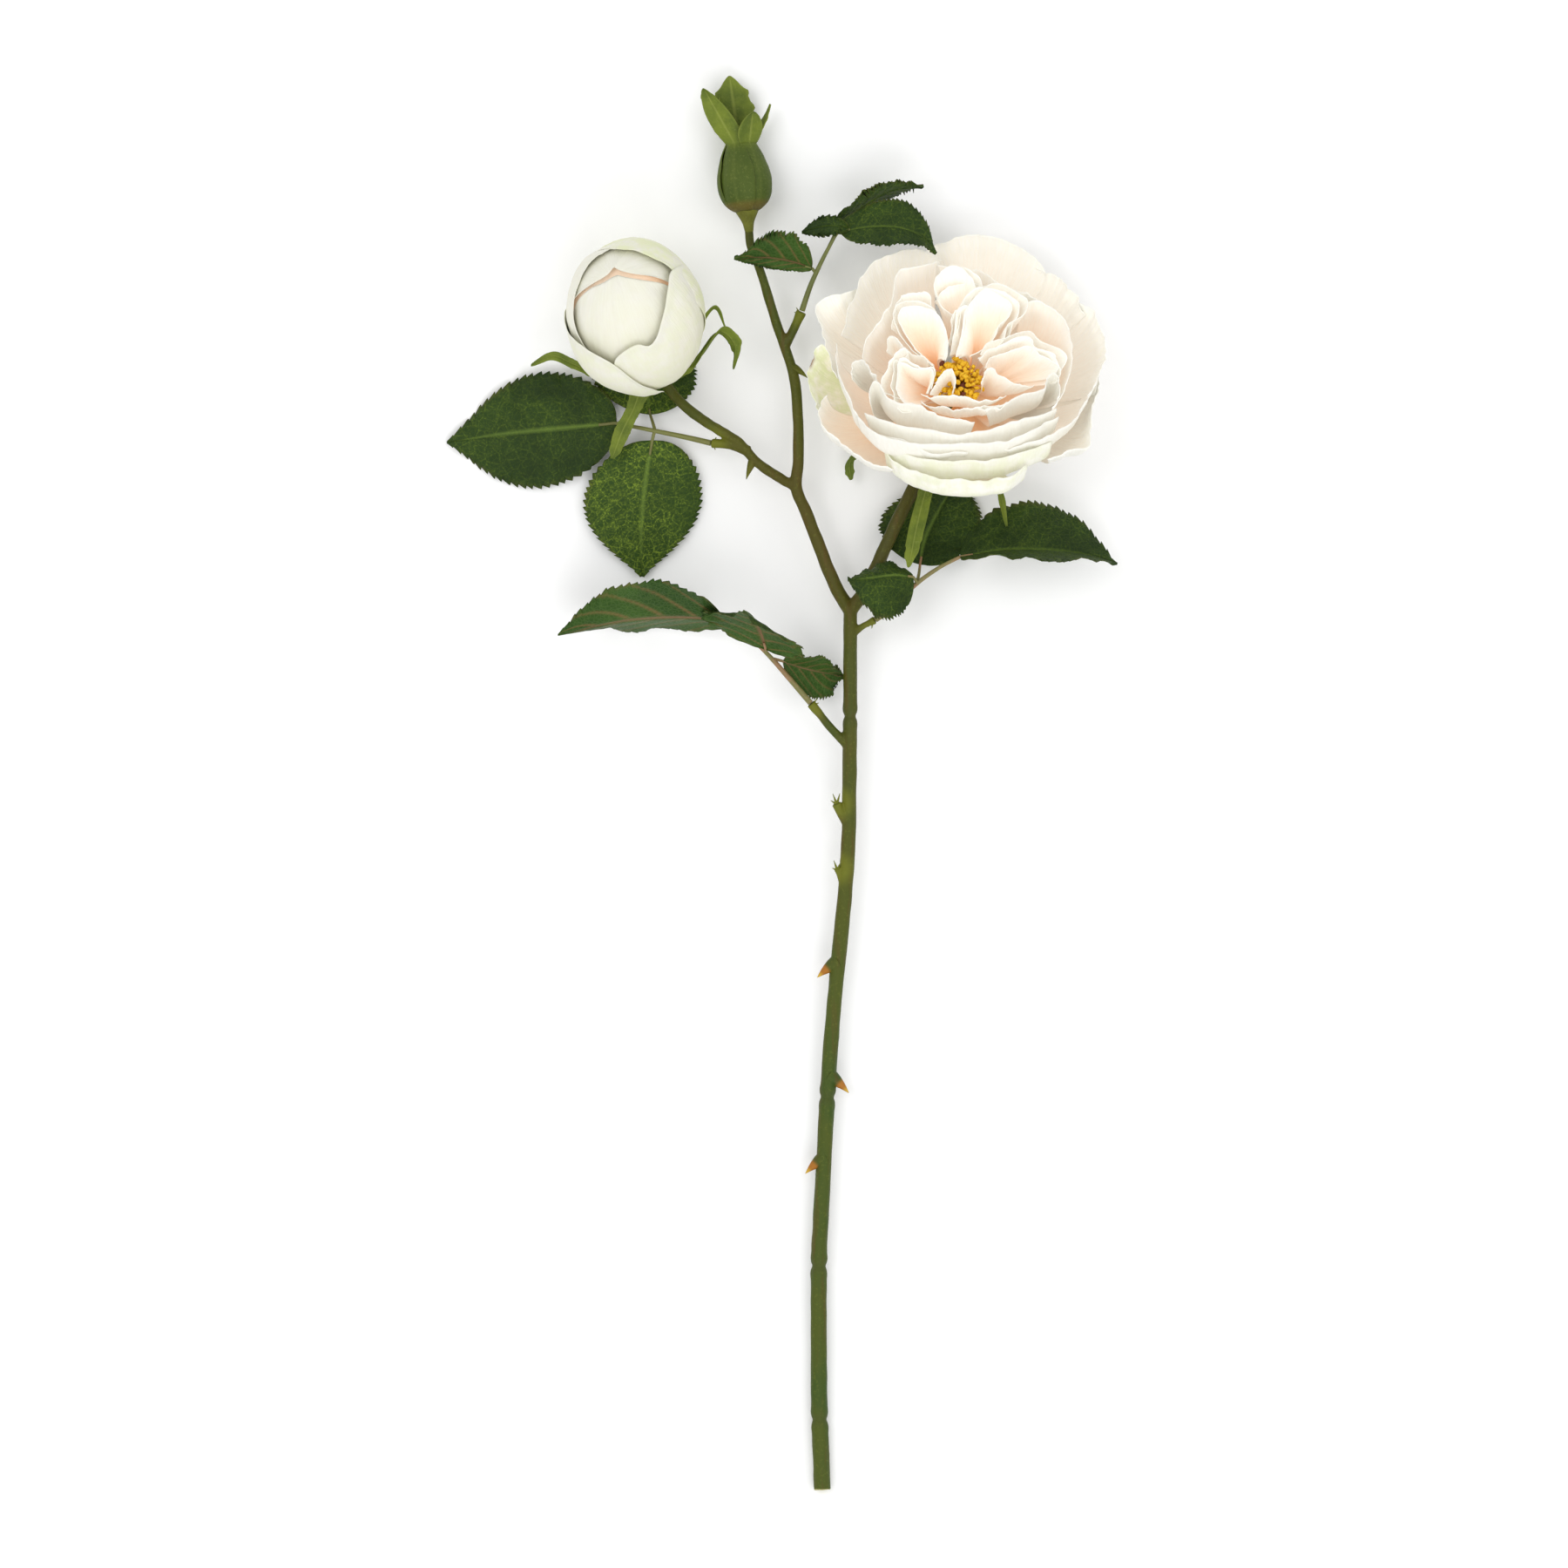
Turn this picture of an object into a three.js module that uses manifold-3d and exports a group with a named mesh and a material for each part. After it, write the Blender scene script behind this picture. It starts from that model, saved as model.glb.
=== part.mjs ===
// A cut garden-rose spray, lying on a table: one branching stem with an open bloom, a half-open
// flower, a closed green bud and four compound leaves.
// Millimetres. The table is Z = 0 and the flowers face +Z; the stem runs along Y with its cut end
// at -Y. The origin is on the table, under the middle of the spray.
import * as THREE from "three";
import { mergeVertices } from "three/addons/utils/BufferGeometryUtils.js";
import Module from "manifold-3d";

const wasm = await Module();
wasm.setup();

// ---- driving dimensions ----
const PETAL_THICKNESS = 0.8;
const LEAF_THICKNESS = 0.8;
const SEPAL_THICKNESS = 0.9;
const CLEARANCE = 0.3; // between pieces that touch, such as a leaf stalk on its stub
const CANE_LENGTH = 342.7; // cut end to fork, along Y
const CANE_RADIUS_CUT = 3.3; // at the cut end
const CANE_RADIUS_FORK = 2.7;
const SHOOT_RADIUS = 2.0; // the two shoots that carry the bud and the half-open flower
const BLOOM_SHOOT_RADIUS = 2.6;
const GROOVE_DEPTH = 0.7; // the ring grooves between lengths of cane
const GROOVE_HALF_LENGTH = 1.4;
const PRICKLE_LENGTH = 4.4;
const PRICKLE_RADIUS = 1.5;
const STALK_RADIUS = 0.95; // a compound leaf's stalk
const BLOOM_RADIUS = 58; // the open bloom's outermost petals
const BLOOM_TILT_DEG = 28; // the bloom faces up the spray by this much
const BLOOM_CENTRE = [67.3, 163.9, 51]; // middle of its rim plane
const BLOOM_DEPTH = 38; // rim plane to the base of the petals
const BLOOM_HIP_LENGTH = 9;
const HALF_OPEN_CENTRE = [-58.5, 182.9, 40];
const HALF_OPEN_AXIS = [-0.25, 0.6, 0.76];
const HALF_OPEN_RADIUS = 27;
const HALF_OPEN_HALF_LENGTH = 31;
const HALF_OPEN_HIP_LENGTH = 8;
const CLOSED_BUD_BASE = [-14.6, 225.4, 14.2];
const CLOSED_BUD_AXIS = [-0.1, 0.99, -0.06];
const CLOSED_BUD_RADIUS = 9.6;
const CLOSED_BUD_LENGTH = 31;
const CLOSED_BUD_HIP_LENGTH = 10.5;

const COLOURS = {
  stem: [0x55652a, 0.5],
  stalk: [0x7a6a42, 0.55],
  leaf: [0x2c4a20, 0.6],
  sepal: [0x76883a, 0.65],
  petal: [0xf6efe6, 0.75],
  bud_petal: [0xf3f2e4, 0.75],
  stamen: [0xd99a16, 0.8],
};

const v3 = ([x, y, z]) => new THREE.Vector3(x, y, z);
const lerp = (a, b, t) => a + (b - a) * t;
const curveOf = (points) =>
  new THREE.CatmullRomCurve3(points.map(v3), false, "centripetal");

// ---- closed solids from grids of points ----

function geometryOf(points, triangles) {
  const geometry = new THREE.BufferGeometry();
  geometry.setAttribute(
    "position",
    new THREE.Float32BufferAttribute(points.flatMap((p) => [p.x, p.y, p.z]), 3),
  );
  geometry.setIndex(triangles);
  return geometry;
}

// Joins rings of points into a closed body, with a fan over each end.
function loft(rings) {
  const sides = rings[0].length;
  const points = rings.flat();
  const triangles = [];
  for (let i = 0; i + 1 < rings.length; i++)
    for (let j = 0; j < sides; j++) {
      const a = i * sides + j;
      const b = i * sides + ((j + 1) % sides);
      triangles.push(a, b, b + sides, a, b + sides, a + sides);
    }
  for (const [ring, turned] of [
    [0, true],
    [rings.length - 1, false],
  ]) {
    const centre = points.length;
    points.push(
      rings[ring]
        .reduce((sum, p) => sum.add(p), new THREE.Vector3())
        .divideScalar(sides),
    );
    for (let j = 0; j < sides; j++) {
      const a = ring * sides + j;
      const b = ring * sides + ((j + 1) % sides);
      triangles.push(centre, turned ? b : a, turned ? a : b);
    }
  }
  return geometryOf(points, triangles);
}

// A tube through points, with its radius given by radiusAt(0..1) at each of the stations.
function tube(points, radiusAt, stations, sides = 8) {
  const curve = curveOf(points);
  const steps = 200;
  const frames = curve.computeFrenetFrames(steps, false);
  const rings = stations.map((t) => {
    const k = Math.round(t * steps);
    const centre = curve.getPointAt(t);
    return Array.from({ length: sides }, (_, j) => {
      const turn = (2 * Math.PI * j) / sides;
      return centre
        .clone()
        .addScaledVector(frames.normals[k], radiusAt(t) * Math.cos(turn))
        .addScaledVector(frames.binormals[k], radiusAt(t) * Math.sin(turn));
    });
  });
  return loft(rings);
}

const evenly = (count, from = 0, to = 1) =>
  Array.from({ length: count + 1 }, (_, i) => lerp(from, to, i / count));

// A plate of even thickness about surface(u, v), with u and v from 0 to 1. Its edges stand out
// by margin.
function plate(surface, thickness, nu, nv, margin = 0) {
  const middle = evenly(nu).map((u) => evenly(nv).map((v) => surface(u, v)));
  const clampTo = (i, n) => Math.min(Math.max(i, 0), n);
  const pushOut = (edge, inner) =>
    edge.addScaledVector(edge.clone().sub(inner).normalize(), margin);
  for (let j = 0; j <= nv; j++) {
    pushOut(middle[0][j], middle[1][j]);
    pushOut(middle[nu][j], middle[nu - 1][j]);
  }
  for (let i = 0; i <= nu; i++) {
    pushOut(middle[i][0], middle[i][1]);
    pushOut(middle[i][nv], middle[i][nv - 1]);
  }
  const normalAt = (i, j) => {
    const along = middle[clampTo(i + 1, nu)][j]
      .clone()
      .sub(middle[clampTo(i - 1, nu)][j]);
    const across = middle[i][clampTo(j + 1, nv)]
      .clone()
      .sub(middle[i][clampTo(j - 1, nv)]);
    return along.cross(across).normalize();
  };
  const points = [];
  const side = (sign) =>
    middle.map((row, i) =>
      row.map((p, j) => {
        points.push(
          p.clone().addScaledVector(normalAt(i, j), (sign * thickness) / 2),
        );
        return points.length - 1;
      }),
    );
  const top = side(1);
  const under = side(-1);
  const triangles = [];
  const quad = (a, b, c, d) => triangles.push(a, b, c, a, c, d);
  for (let i = 0; i < nu; i++)
    for (let j = 0; j < nv; j++) {
      quad(top[i][j], top[i + 1][j], top[i + 1][j + 1], top[i][j + 1]);
      quad(under[i][j], under[i][j + 1], under[i + 1][j + 1], under[i + 1][j]);
    }
  for (let i = 0; i < nu; i++) {
    quad(top[i][0], under[i][0], under[i + 1][0], top[i + 1][0]);
    quad(top[i + 1][nv], under[i + 1][nv], under[i][nv], top[i][nv]);
  }
  for (let j = 0; j < nv; j++) {
    quad(top[0][j + 1], under[0][j + 1], under[0][j], top[0][j]);
    quad(top[nu][j], under[nu][j], under[nu][j + 1], top[nu][j + 1]);
  }
  return geometryOf(points, triangles);
}

// ---- booleans ----

function solidOf(geometry) {
  const bare = geometry.clone();
  for (const name of Object.keys(bare.attributes))
    if (name !== "position") bare.deleteAttribute(name);
  const merged = mergeVertices(bare, 1e-4);
  return new wasm.Manifold(
    new wasm.Mesh({
      numProp: 3,
      vertProperties: merged.attributes.position.array,
      triVerts: new Uint32Array(merged.index.array),
    }),
  );
}

function geometryFrom(solid) {
  const mesh = solid.getMesh();
  const geometry = new THREE.BufferGeometry();
  geometry.setAttribute(
    "position",
    new THREE.Float32BufferAttribute(Array.from(mesh.vertProperties), 3),
  );
  geometry.setIndex(Array.from(mesh.triVerts));
  return geometry;
}

const joined = (geometries) =>
  geometries.map(solidOf).reduce((whole, next) => whole.add(next));

const largestBody = (solid) =>
  solid.decompose().reduce((a, b) => (a.volume() >= b.volume() ? a : b));

// ---- the group ----

const rose = new THREE.Group();

function add(name, geometry, colour) {
  const [hex, roughness] = COLOURS[colour];
  const material = new THREE.MeshStandardMaterial({
    color: hex,
    roughness,
    metalness: 0,
    flatShading: true,
  });
  const mesh = new THREE.Mesh(geometry, material);
  mesh.name = name;
  rose.add(mesh);
}

// ---- flower frames ----
// A flower is built in its own frame: h along its axis, and (r, angle) around it.

function flowerFrame(centre, axis) {
  const h = v3(axis).normalize();
  const q = new THREE.Vector3().crossVectors(h, new THREE.Vector3(1, 0, 0)).normalize();
  const p = new THREE.Vector3().crossVectors(q, h);
  const matrix = new THREE.Matrix4().makeBasis(p, q, h).setPosition(...centre);
  const place = (x, y, z) => new THREE.Vector3(x, y, z).applyMatrix4(matrix);
  place.matrix = matrix;
  return place;
}

const tilt = THREE.MathUtils.degToRad(BLOOM_TILT_DEG);
const bloomAxis = [0, Math.sin(tilt), Math.cos(tilt)];
const bloom = flowerFrame(BLOOM_CENTRE, bloomAxis);
const halfOpen = flowerFrame(HALF_OPEN_CENTRE, HALF_OPEN_AXIS);
const closedBud = flowerFrame(CLOSED_BUD_BASE, CLOSED_BUD_AXIS);

// A solid of revolution about a flower's axis, from [radius, h] pairs that rise along it.
function turned(frame, profile, sides = 10) {
  const ends = [profile[0], profile[profile.length - 1]];
  const closed = [[0, ends[0][1]], ...profile, [0, ends[1][1]]];
  return new THREE.LatheGeometry(closed.map(([r, h]) => new THREE.Vector2(r, h)), sides)
    .rotateX(Math.PI / 2)
    .applyMatrix4(frame.matrix);
}

// ---- stem ----

const FORK = [25.8, 67.3, 15.3];
// The cane's bends, from the cut end to the fork: [share of its length, x, z].
const CANE_BENDS = [
  [0, 15.0, 3.4],
  [0.08, 13.9, 4.0],
  [0.17, 13.6, 5.0],
  [0.26, 13.6, 6.0],
  [0.36, 15.3, 7.2],
  [0.45, 16.9, 8.2],
  [0.56, 19.6, 9.4],
  [0.66, 23.0, 10.6],
  [0.75, 25.2, 11.7],
  [0.81, 25.5, 12.5],
  [0.88, 25.8, 13.5],
  [0.94, 25.8, 14.4],
];
const CANE = [
  ...CANE_BENDS.map(([share, x, z]) => [x, FORK[1] - CANE_LENGTH * (1 - share), z]),
  FORK,
];
const canePoint = (share) => curveOf(CANE).getPointAt(share);
const UPPER_FORK = [4.8, 115.6, 17.2];
const CLOSED_BUD_HIP_END = closedBud(0, 0, -CLOSED_BUD_HIP_LENGTH).toArray();
const LONG_SHOOT = [
  FORK,
  [20.4, 76.5, 16.0],
  [14.3, 91.1, 16.6],
  [8.8, 105.4, 17.0],
  UPPER_FORK,
  [5.6, 125.8, 17.4],
  [5.4, 142.8, 17.4],
  [3.7, 159.8, 17.2],
  [-0.2, 171.5, 16.9],
  [-5.1, 186.3, 16.5],
  [-9.2, 199.9, 15.9],
  closedBud(0, 0, -CLOSED_BUD_HIP_LENGTH - 5).toArray(),
  closedBud(0, 0, -CLOSED_BUD_HIP_LENGTH - CLEARANCE).toArray(),
];
const HALF_OPEN_SHOOT = [
  UPPER_FORK,
  [-1.7, 119.3, 16.8],
  [-10.2, 125.1, 16.2],
  [-18.0, 133.3, 15.4],
  [-28.9, 140.1, 13.8],
  [-37.4, 146.2, 12.0],
  [-43.6, 152.6, 10.4],
  halfOpen(0, 0, -HALF_OPEN_HALF_LENGTH - HALF_OPEN_HIP_LENGTH - CLEARANCE).toArray(),
];
const BLOOM_SHOOT = [
  FORK,
  [30.6, 74.1, 15.3],
  [35.4, 83.3, 15.0],
  [40.8, 95.2, 14.4],
  [46.9, 108.1, 13.0],
  [53.7, 121.4, 10.8],
  [61.2, 133.3, 8.4],
  bloom(0, 0, -BLOOM_DEPTH - BLOOM_HIP_LENGTH - CLEARANCE).toArray(),
];
const GROOVES = [0.08, 0.254, 0.446, 0.879]; // shares of the cane's length

// Stubs that hold the leaves, each a short side shoot: [points, radius at the stem, at its end].
const STUBS = {
  leaf_low_left: [
    [[25.0, 15.0, 12.9], [18.9, 21.1, 14.5], [13.9, 27.2, 16.5], [10.5, 31.3, 18.0]],
    1.9,
    1.4,
  ],
  leaf_low_right: [
    [[26.5, 58.6, 15.0], [31.5, 61.9, 16.0], [35.4, 63.9, 17.0]],
    1.5,
    1.2,
  ],
  leaf_bud: [
    [[-13.5, 129.6, 15.9], [-19.6, 131.9, 14.9], [-28.2, 132.9, 13.4]],
    2.2,
    1.6,
  ],
  leaf_top: [
    [[0.4, 170.5, 16.9], [4.1, 177.8, 18.0], [6.8, 183.9, 19.0]],
    1.9,
    1.7,
  ],
};
// Stubs with no leaf, on the cane: [share of its length, points from there, radii as above].
const BARE_STUBS = [
  [0.755, [[0, 0, 0], [-3.0, 5.5, 1.4], [-4.6, 8.9, 2.2]], 1.9, 1.6],
  [0.687, [[0, 0, 0], [-1.8, 4.5, 1.0], [-2.8, 7.0, 1.4]], 1.7, 0.9],
];
// Prickles: [root on the stem's axis, the way they point].
const PRICKLES = [
  [canePoint(0.6), [-0.9, -0.42, 0.1]],
  [canePoint(0.472), [0.86, -0.5, 0.1]],
  [canePoint(0.38), [-0.88, -0.46, 0.1]],
  [v3([3.0, 162.4, 17.2]), [0.95, -0.3, 0.1]],
  [v3([-11.8, 126.6, 16.0]), [-0.45, -0.88, 0.1]],
];

// The stem, thicker by spare all over.
function stemSolid(spare = 0) {
  const groove = GROOVE_HALF_LENGTH / CANE_LENGTH;
  const nearGroove = (t) =>
    Math.max(0, ...GROOVES.map((at) => 1 - Math.abs(t - at) / groove));
  const caneRadius = (t) =>
    lerp(CANE_RADIUS_CUT, CANE_RADIUS_FORK, t) - GROOVE_DEPTH * nearGroove(t) + spare;
  const grooveStations = GROOVES.flatMap((at) => [at - groove, at, at + groove]);
  const caneStations = [...evenly(22), ...grooveStations].sort((a, b) => a - b);
  const pieces = [tube(CANE, caneRadius, caneStations)];
  const shoot = (points, from, to, count, sides = 8) =>
    pieces.push(tube(points, (t) => lerp(from, to, t) + spare, evenly(count), sides));
  shoot(LONG_SHOOT, CANE_RADIUS_FORK, SHOOT_RADIUS * 0.8, 22);
  shoot(HALF_OPEN_SHOOT, SHOOT_RADIUS, SHOOT_RADIUS, 12);
  shoot(BLOOM_SHOOT, BLOOM_SHOOT_RADIUS, BLOOM_SHOOT_RADIUS, 12);
  for (const [points, from, to] of Object.values(STUBS)) shoot(points, from, to, 3, 6);
  for (const [share, steps, from, to] of BARE_STUBS) {
    const root = canePoint(share);
    const points = steps.map((step) => v3(step).add(root).toArray());
    shoot(points, from, to, 3, 6);
  }
  for (const [root, way] of PRICKLES) {
    const out = v3(way).normalize();
    const reach = CANE_RADIUS_FORK + PRICKLE_LENGTH;
    const points = [0, 0.5, 1].map((t) =>
      root.clone().addScaledVector(out, reach * t).toArray(),
    );
    shoot(points, PRICKLE_RADIUS, 0.25, 2, 6);
  }
  return joined(pieces);
}
const stem = stemSolid();
add("stem", geometryFrom(stem), "stem");

// Leaflets and petals are placed in order, and one that would touch an earlier piece is cut
// back from it. Each cutter is a piece placed so far, thickened by the clearance.
const cutters = [stemSolid(CLEARANCE)];
const cutBack = (solid) =>
  cutters.reduce(
    (rest, cutter) =>
      rest.intersect(cutter).volume() > 0 ? largestBody(rest.subtract(cutter)) : rest,
    solid,
  );

// ---- compound leaves ----
// A leaflet follows its midrib, and each half of its blade runs out along its own direction.

function leafletSurface({ midrib, width, left, right, share = [1, 1] }) {
  const curve = curveOf(midrib);
  const ways = [v3(left).normalize(), v3(right).normalize()];
  const outline = (s) =>
    0.5 + (width / 2) * Math.pow(Math.sin(Math.PI * Math.pow(s, 0.78)), lerp(0.6, 1.1, s));
  return (u, s) => {
    const across = 2 * u - 1;
    const half = across < 0 ? 0 : 1;
    const reach = Math.abs(across) * share[half];
    return curve
      .getPointAt(s)
      .clone()
      .addScaledVector(ways[half], reach * outline(Math.min(s, 0.999)));
  };
}

// Each leaf: its stalk's points, its side stalks, and its leaflets.
const LEAVES = {
  leaf_bud: {
    stalk: [
      [-28.5, 132.9, 13.3], [-37.4, 135.0, 11.4], [-50.3, 137.7, 9.4], [-64.6, 140.5, 7.8],
    ],
    sideStalks: [
      [[-50.3, 137.7, 9.4], [-50.9, 136.0, 9.0], [-51.2, 134.6, 8.8]],
      [[-50.3, 137.7, 9.4], [-51.2, 141.0, 7.2], [-51.9, 143.2, 5.6]],
    ],
    leaflets: {
      end: {
        midrib: [
          [-65.4, 140.7, 7.6], [-88.4, 138.7, 6.4], [-112.2, 136.3, 4.8], [-131.6, 133.3, 2.6],
        ],
        width: 44,
        left: [0.05, -0.99, -0.12],
        right: [0.05, 0.99, -0.1],
      },
      low: {
        midrib: [
          [-51.4, 133.8, 8.6], [-54.4, 115.6, 7.4], [-55.8, 95.2, 5.2], [-55.4, 80.9, 2.6],
        ],
        width: 45,
        left: [0.99, 0.05, -0.14],
        right: [-0.99, 0.05, -0.12],
      },
      high: {
        midrib: [
          [-52.2, 144.2, 4.8], [-53.4, 151.3, 2.8], [-56.1, 166.0, 1.1], [-58.5, 179.0, 0.5],
        ],
        width: 40,
        left: [-0.99, 0.05, 0],
        right: [0.99, 0.05, 0],
      },
    },
  },
  leaf_low_left: {
    stalk: [
      [10.3, 31.6, 18.1], [1.7, 41.5, 19.8], [-6.8, 51.0, 21.4], [-15.3, 58.8, 23.2],
      [-22.8, 63.0, 25.0],
    ],
    sideStalks: [
      [[-6.8, 51.0, 21.4], [-7.6, 54.0, 23.4], [-8.2, 56.6, 25.6]],
      [[-4.6, 48.8, 21.0], [-2.6, 48.4, 20.0], [-1.0, 48.0, 19.0]],
    ],
    leaflets: {
      end: {
        midrib: [
          [-23.7, 63.5, 25.3], [-40.8, 64.6, 27.2], [-61.2, 63.4, 26.4], [-74.8, 60.9, 23.4],
          [-88.1, 57.8, 19.0],
        ],
        width: 42,
        left: [0, -0.14, -0.99],
        right: [0, 0.72, 0.69],
      },
      near: {
        midrib: [
          [-8.4, 57.4, 26.4], [-9.8, 61.5, 32.0], [-12.5, 65.0, 40.0], [-16.0, 67.0, 49.0],
        ],
        width: 40,
        left: [-0.95, 0.15, -0.25],
        right: [0.85, -0.45, -0.3],
      },
      far: {
        midrib: [
          [-0.2, 47.8, 18.6], [7.0, 45.6, 15.0], [15.0, 43.8, 9.6], [23.4, 42.4, 4.2],
        ],
        width: 28,
        left: [0.1, -0.8, -0.1],
        right: [0.25, 0.4, 0.85],
        share: [0.8, 0.8],
      },
    },
  },
  leaf_low_right: {
    stalk: [
      [35.7, 64.1, 17.1], [41.5, 68.0, 18.7], [51.0, 77.5, 20.9], [60.5, 84.3, 23.0],
      [67.8, 88.0, 24.8],
    ],
    sideStalks: [
      [[52.0, 78.3, 21.1], [51.4, 79.2, 22.0], [50.6, 80.2, 23.2]],
      [[51.5, 77.9, 21.0], [52.4, 81.0, 18.6], [52.9, 84.6, 15.6]],
    ],
    leaflets: {
      end: {
        midrib: [
          [68.7, 88.4, 25.0], [85.0, 91.1, 26.6], [102.0, 91.1, 26.0], [117.3, 89.4, 23.0],
          [129.9, 86.0, 19.0],
        ],
        width: 42,
        left: [0, 0.86, -0.5],
        right: [0, -0.18, 0.98],
      },
      near: {
        midrib: [
          [50.2, 80.6, 24.0], [43.5, 81.6, 26.6], [34.5, 80.6, 29.6], [24.8, 79.2, 31.6],
        ],
        width: 34,
        left: [0.12, -0.93, 0.2],
        right: [0, 0.3, -0.5],
        share: [1, 0.55],
      },
      far: {
        midrib: [
          [53.0, 85.6, 14.8], [54.8, 95.2, 8.4], [60.5, 107.1, 4.4], [68.0, 119.5, 2.6],
        ],
        width: 37,
        left: [-0.95, 0.2, -0.02],
        right: [0.95, -0.2, -0.02],
      },
    },
  },
  leaf_top: {
    stalk: [
      [7.0, 184.4, 19.1], [10.2, 193.8, 20.7], [12.9, 199.9, 21.9], [17.0, 208.1, 23.4],
      [20.9, 214.6, 24.6],
    ],
    sideStalks: [
      [[12.5, 198.8, 21.7], [10.6, 200.6, 21.9], [8.6, 202.0, 22.1]],
      [[17.0, 208.1, 23.4], [19.4, 213.4, 21.0], [20.7, 217.0, 18.4]],
    ],
    leaflets: {
      end: {
        midrib: [
          [22.2, 215.2, 25.2], [34.0, 217.0, 28.4], [45.9, 216.4, 30.6], [54.4, 212.5, 31.4],
          [59.5, 206.7, 31.4],
        ],
        width: 32,
        left: [0.1, 0.62, -0.3],
        right: [-0.1, -0.55, 0.5],
        share: [0.66, 1],
      },
      left: {
        midrib: [
          [7.7, 202.4, 22.2], [-3.4, 204.4, 24.6], [-11.9, 205.0, 24.6], [-19.4, 204.3, 23.0],
        ],
        width: 24,
        left: [0, -0.9, -0.12],
        right: [0, 0.62, 0.75],
        share: [0.35, 1],
      },
      high: {
        midrib: [
          [20.9, 218.0, 17.8], [31.3, 225.6, 16.8], [41.5, 231.3, 17.2], [54.4, 233.0, 17.6],
        ],
        width: 24,
        share: [0.5, 0.8],
        left: [-0.1, 0.28, 0.95],
        right: [0.15, -0.1, -0.97],
      },
    },
  },
};

function stalkSolid(leaf, spare = 0) {
  const radius = (t) => lerp(STALK_RADIUS * 1.25, STALK_RADIUS * 0.8, t) + spare;
  const side = () => STALK_RADIUS * 0.75 + spare;
  return joined([
    tube(leaf.stalk, radius, evenly(8), 6),
    ...leaf.sideStalks.map((points) => tube(points, side, evenly(2), 6)),
  ]);
}

for (const [name, leaf] of Object.entries(LEAVES)) {
  add(`${name}_stalk`, geometryFrom(stalkSolid(leaf)), "stalk");
  cutters.push(stalkSolid(leaf, CLEARANCE));
  for (const [which, leaflet] of Object.entries(leaf.leaflets)) {
    const surface = leafletSurface(leaflet);
    const thick = LEAF_THICKNESS + 2 * CLEARANCE;
    const blade = cutBack(solidOf(plate(surface, LEAF_THICKNESS, 4, 7)));
    add(`${name}_leaflet_${which}`, geometryFrom(blade), "leaf");
    cutters.push(solidOf(plate(surface, thick, 4, 7, CLEARANCE)));
  }
}

// ---- calyxes: a hip with five sepals, one grown piece ----

// A sepal is a strap along its spine, lying across sideways, with a waist and a pointed tip.
function sepalGeometry(spine, width, sideways, nv = 6) {
  const curve = curveOf(spine);
  const across = v3(sideways).normalize();
  const outline = (s) => 0.35 + (width / 2) * Math.pow(1 - s, 0.6) * (0.75 + 0.25 * Math.cos(7 * s));
  const surface = (u, s) =>
    curve.getPointAt(s).clone().addScaledVector(across, (2 * u - 1) * outline(s));
  return plate(surface, SEPAL_THICKNESS, 2, nv);
}

const bloomHip = turned(bloom, [
  [BLOOM_SHOOT_RADIUS, -BLOOM_DEPTH - BLOOM_HIP_LENGTH],
  [4.6, -BLOOM_DEPTH - BLOOM_HIP_LENGTH + 3],
  [5.2, -BLOOM_DEPTH - 3],
  [4.4, -BLOOM_DEPTH],
  [3.4, -BLOOM_DEPTH + 10],
  [2.4, -BLOOM_DEPTH + 16],
]);
const BLOOM_SEPALS = [
  [[[66.0, 145.0, 15.5], [61.0, 131.0, 17.5], [55.5, 115.0, 20.5], [51.5, 99.0, 24.0],
    [48.6, 84.3, 27.0]], 14, [1, 0.35, 0]],
  [[[64.5, 146.0, 15.0], [48.0, 141.0, 12.0], [35.0, 134.0, 9.5],
    [26.0, 126.0, 8.0]], 9, [0.35, -1, 0]],
  [[[69.0, 145.0, 15.5], [77.0, 131.0, 17.5], [83.5, 116.0, 20.5],
    [86.7, 100.3, 24.0]], 7, [1, 0.3, 0]],
  [[[69.5, 148.0, 13.5], [80.0, 156.0, 6.0], [90.0, 166.0, 1.8],
    [98.0, 176.0, 0.6]], 10, [0.8, -0.8, 0]],
  [[[65.0, 148.0, 13.5], [55.0, 158.0, 6.0], [46.0, 169.0, 1.8],
    [39.0, 179.0, 0.6]], 10, [0.8, 0.8, 0]],
];
const socket = (shoot, radius) =>
  solidOf(tube(shoot, () => radius + CLEARANCE, evenly(12)));
const bloomCalyx = joined([
  bloomHip,
  ...BLOOM_SEPALS.map(([spine, width, across]) => sepalGeometry(spine, width, across)),
]).subtract(socket(BLOOM_SHOOT, BLOOM_SHOOT_RADIUS));
add("bloom_calyx", geometryFrom(bloomCalyx), "sepal");

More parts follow.
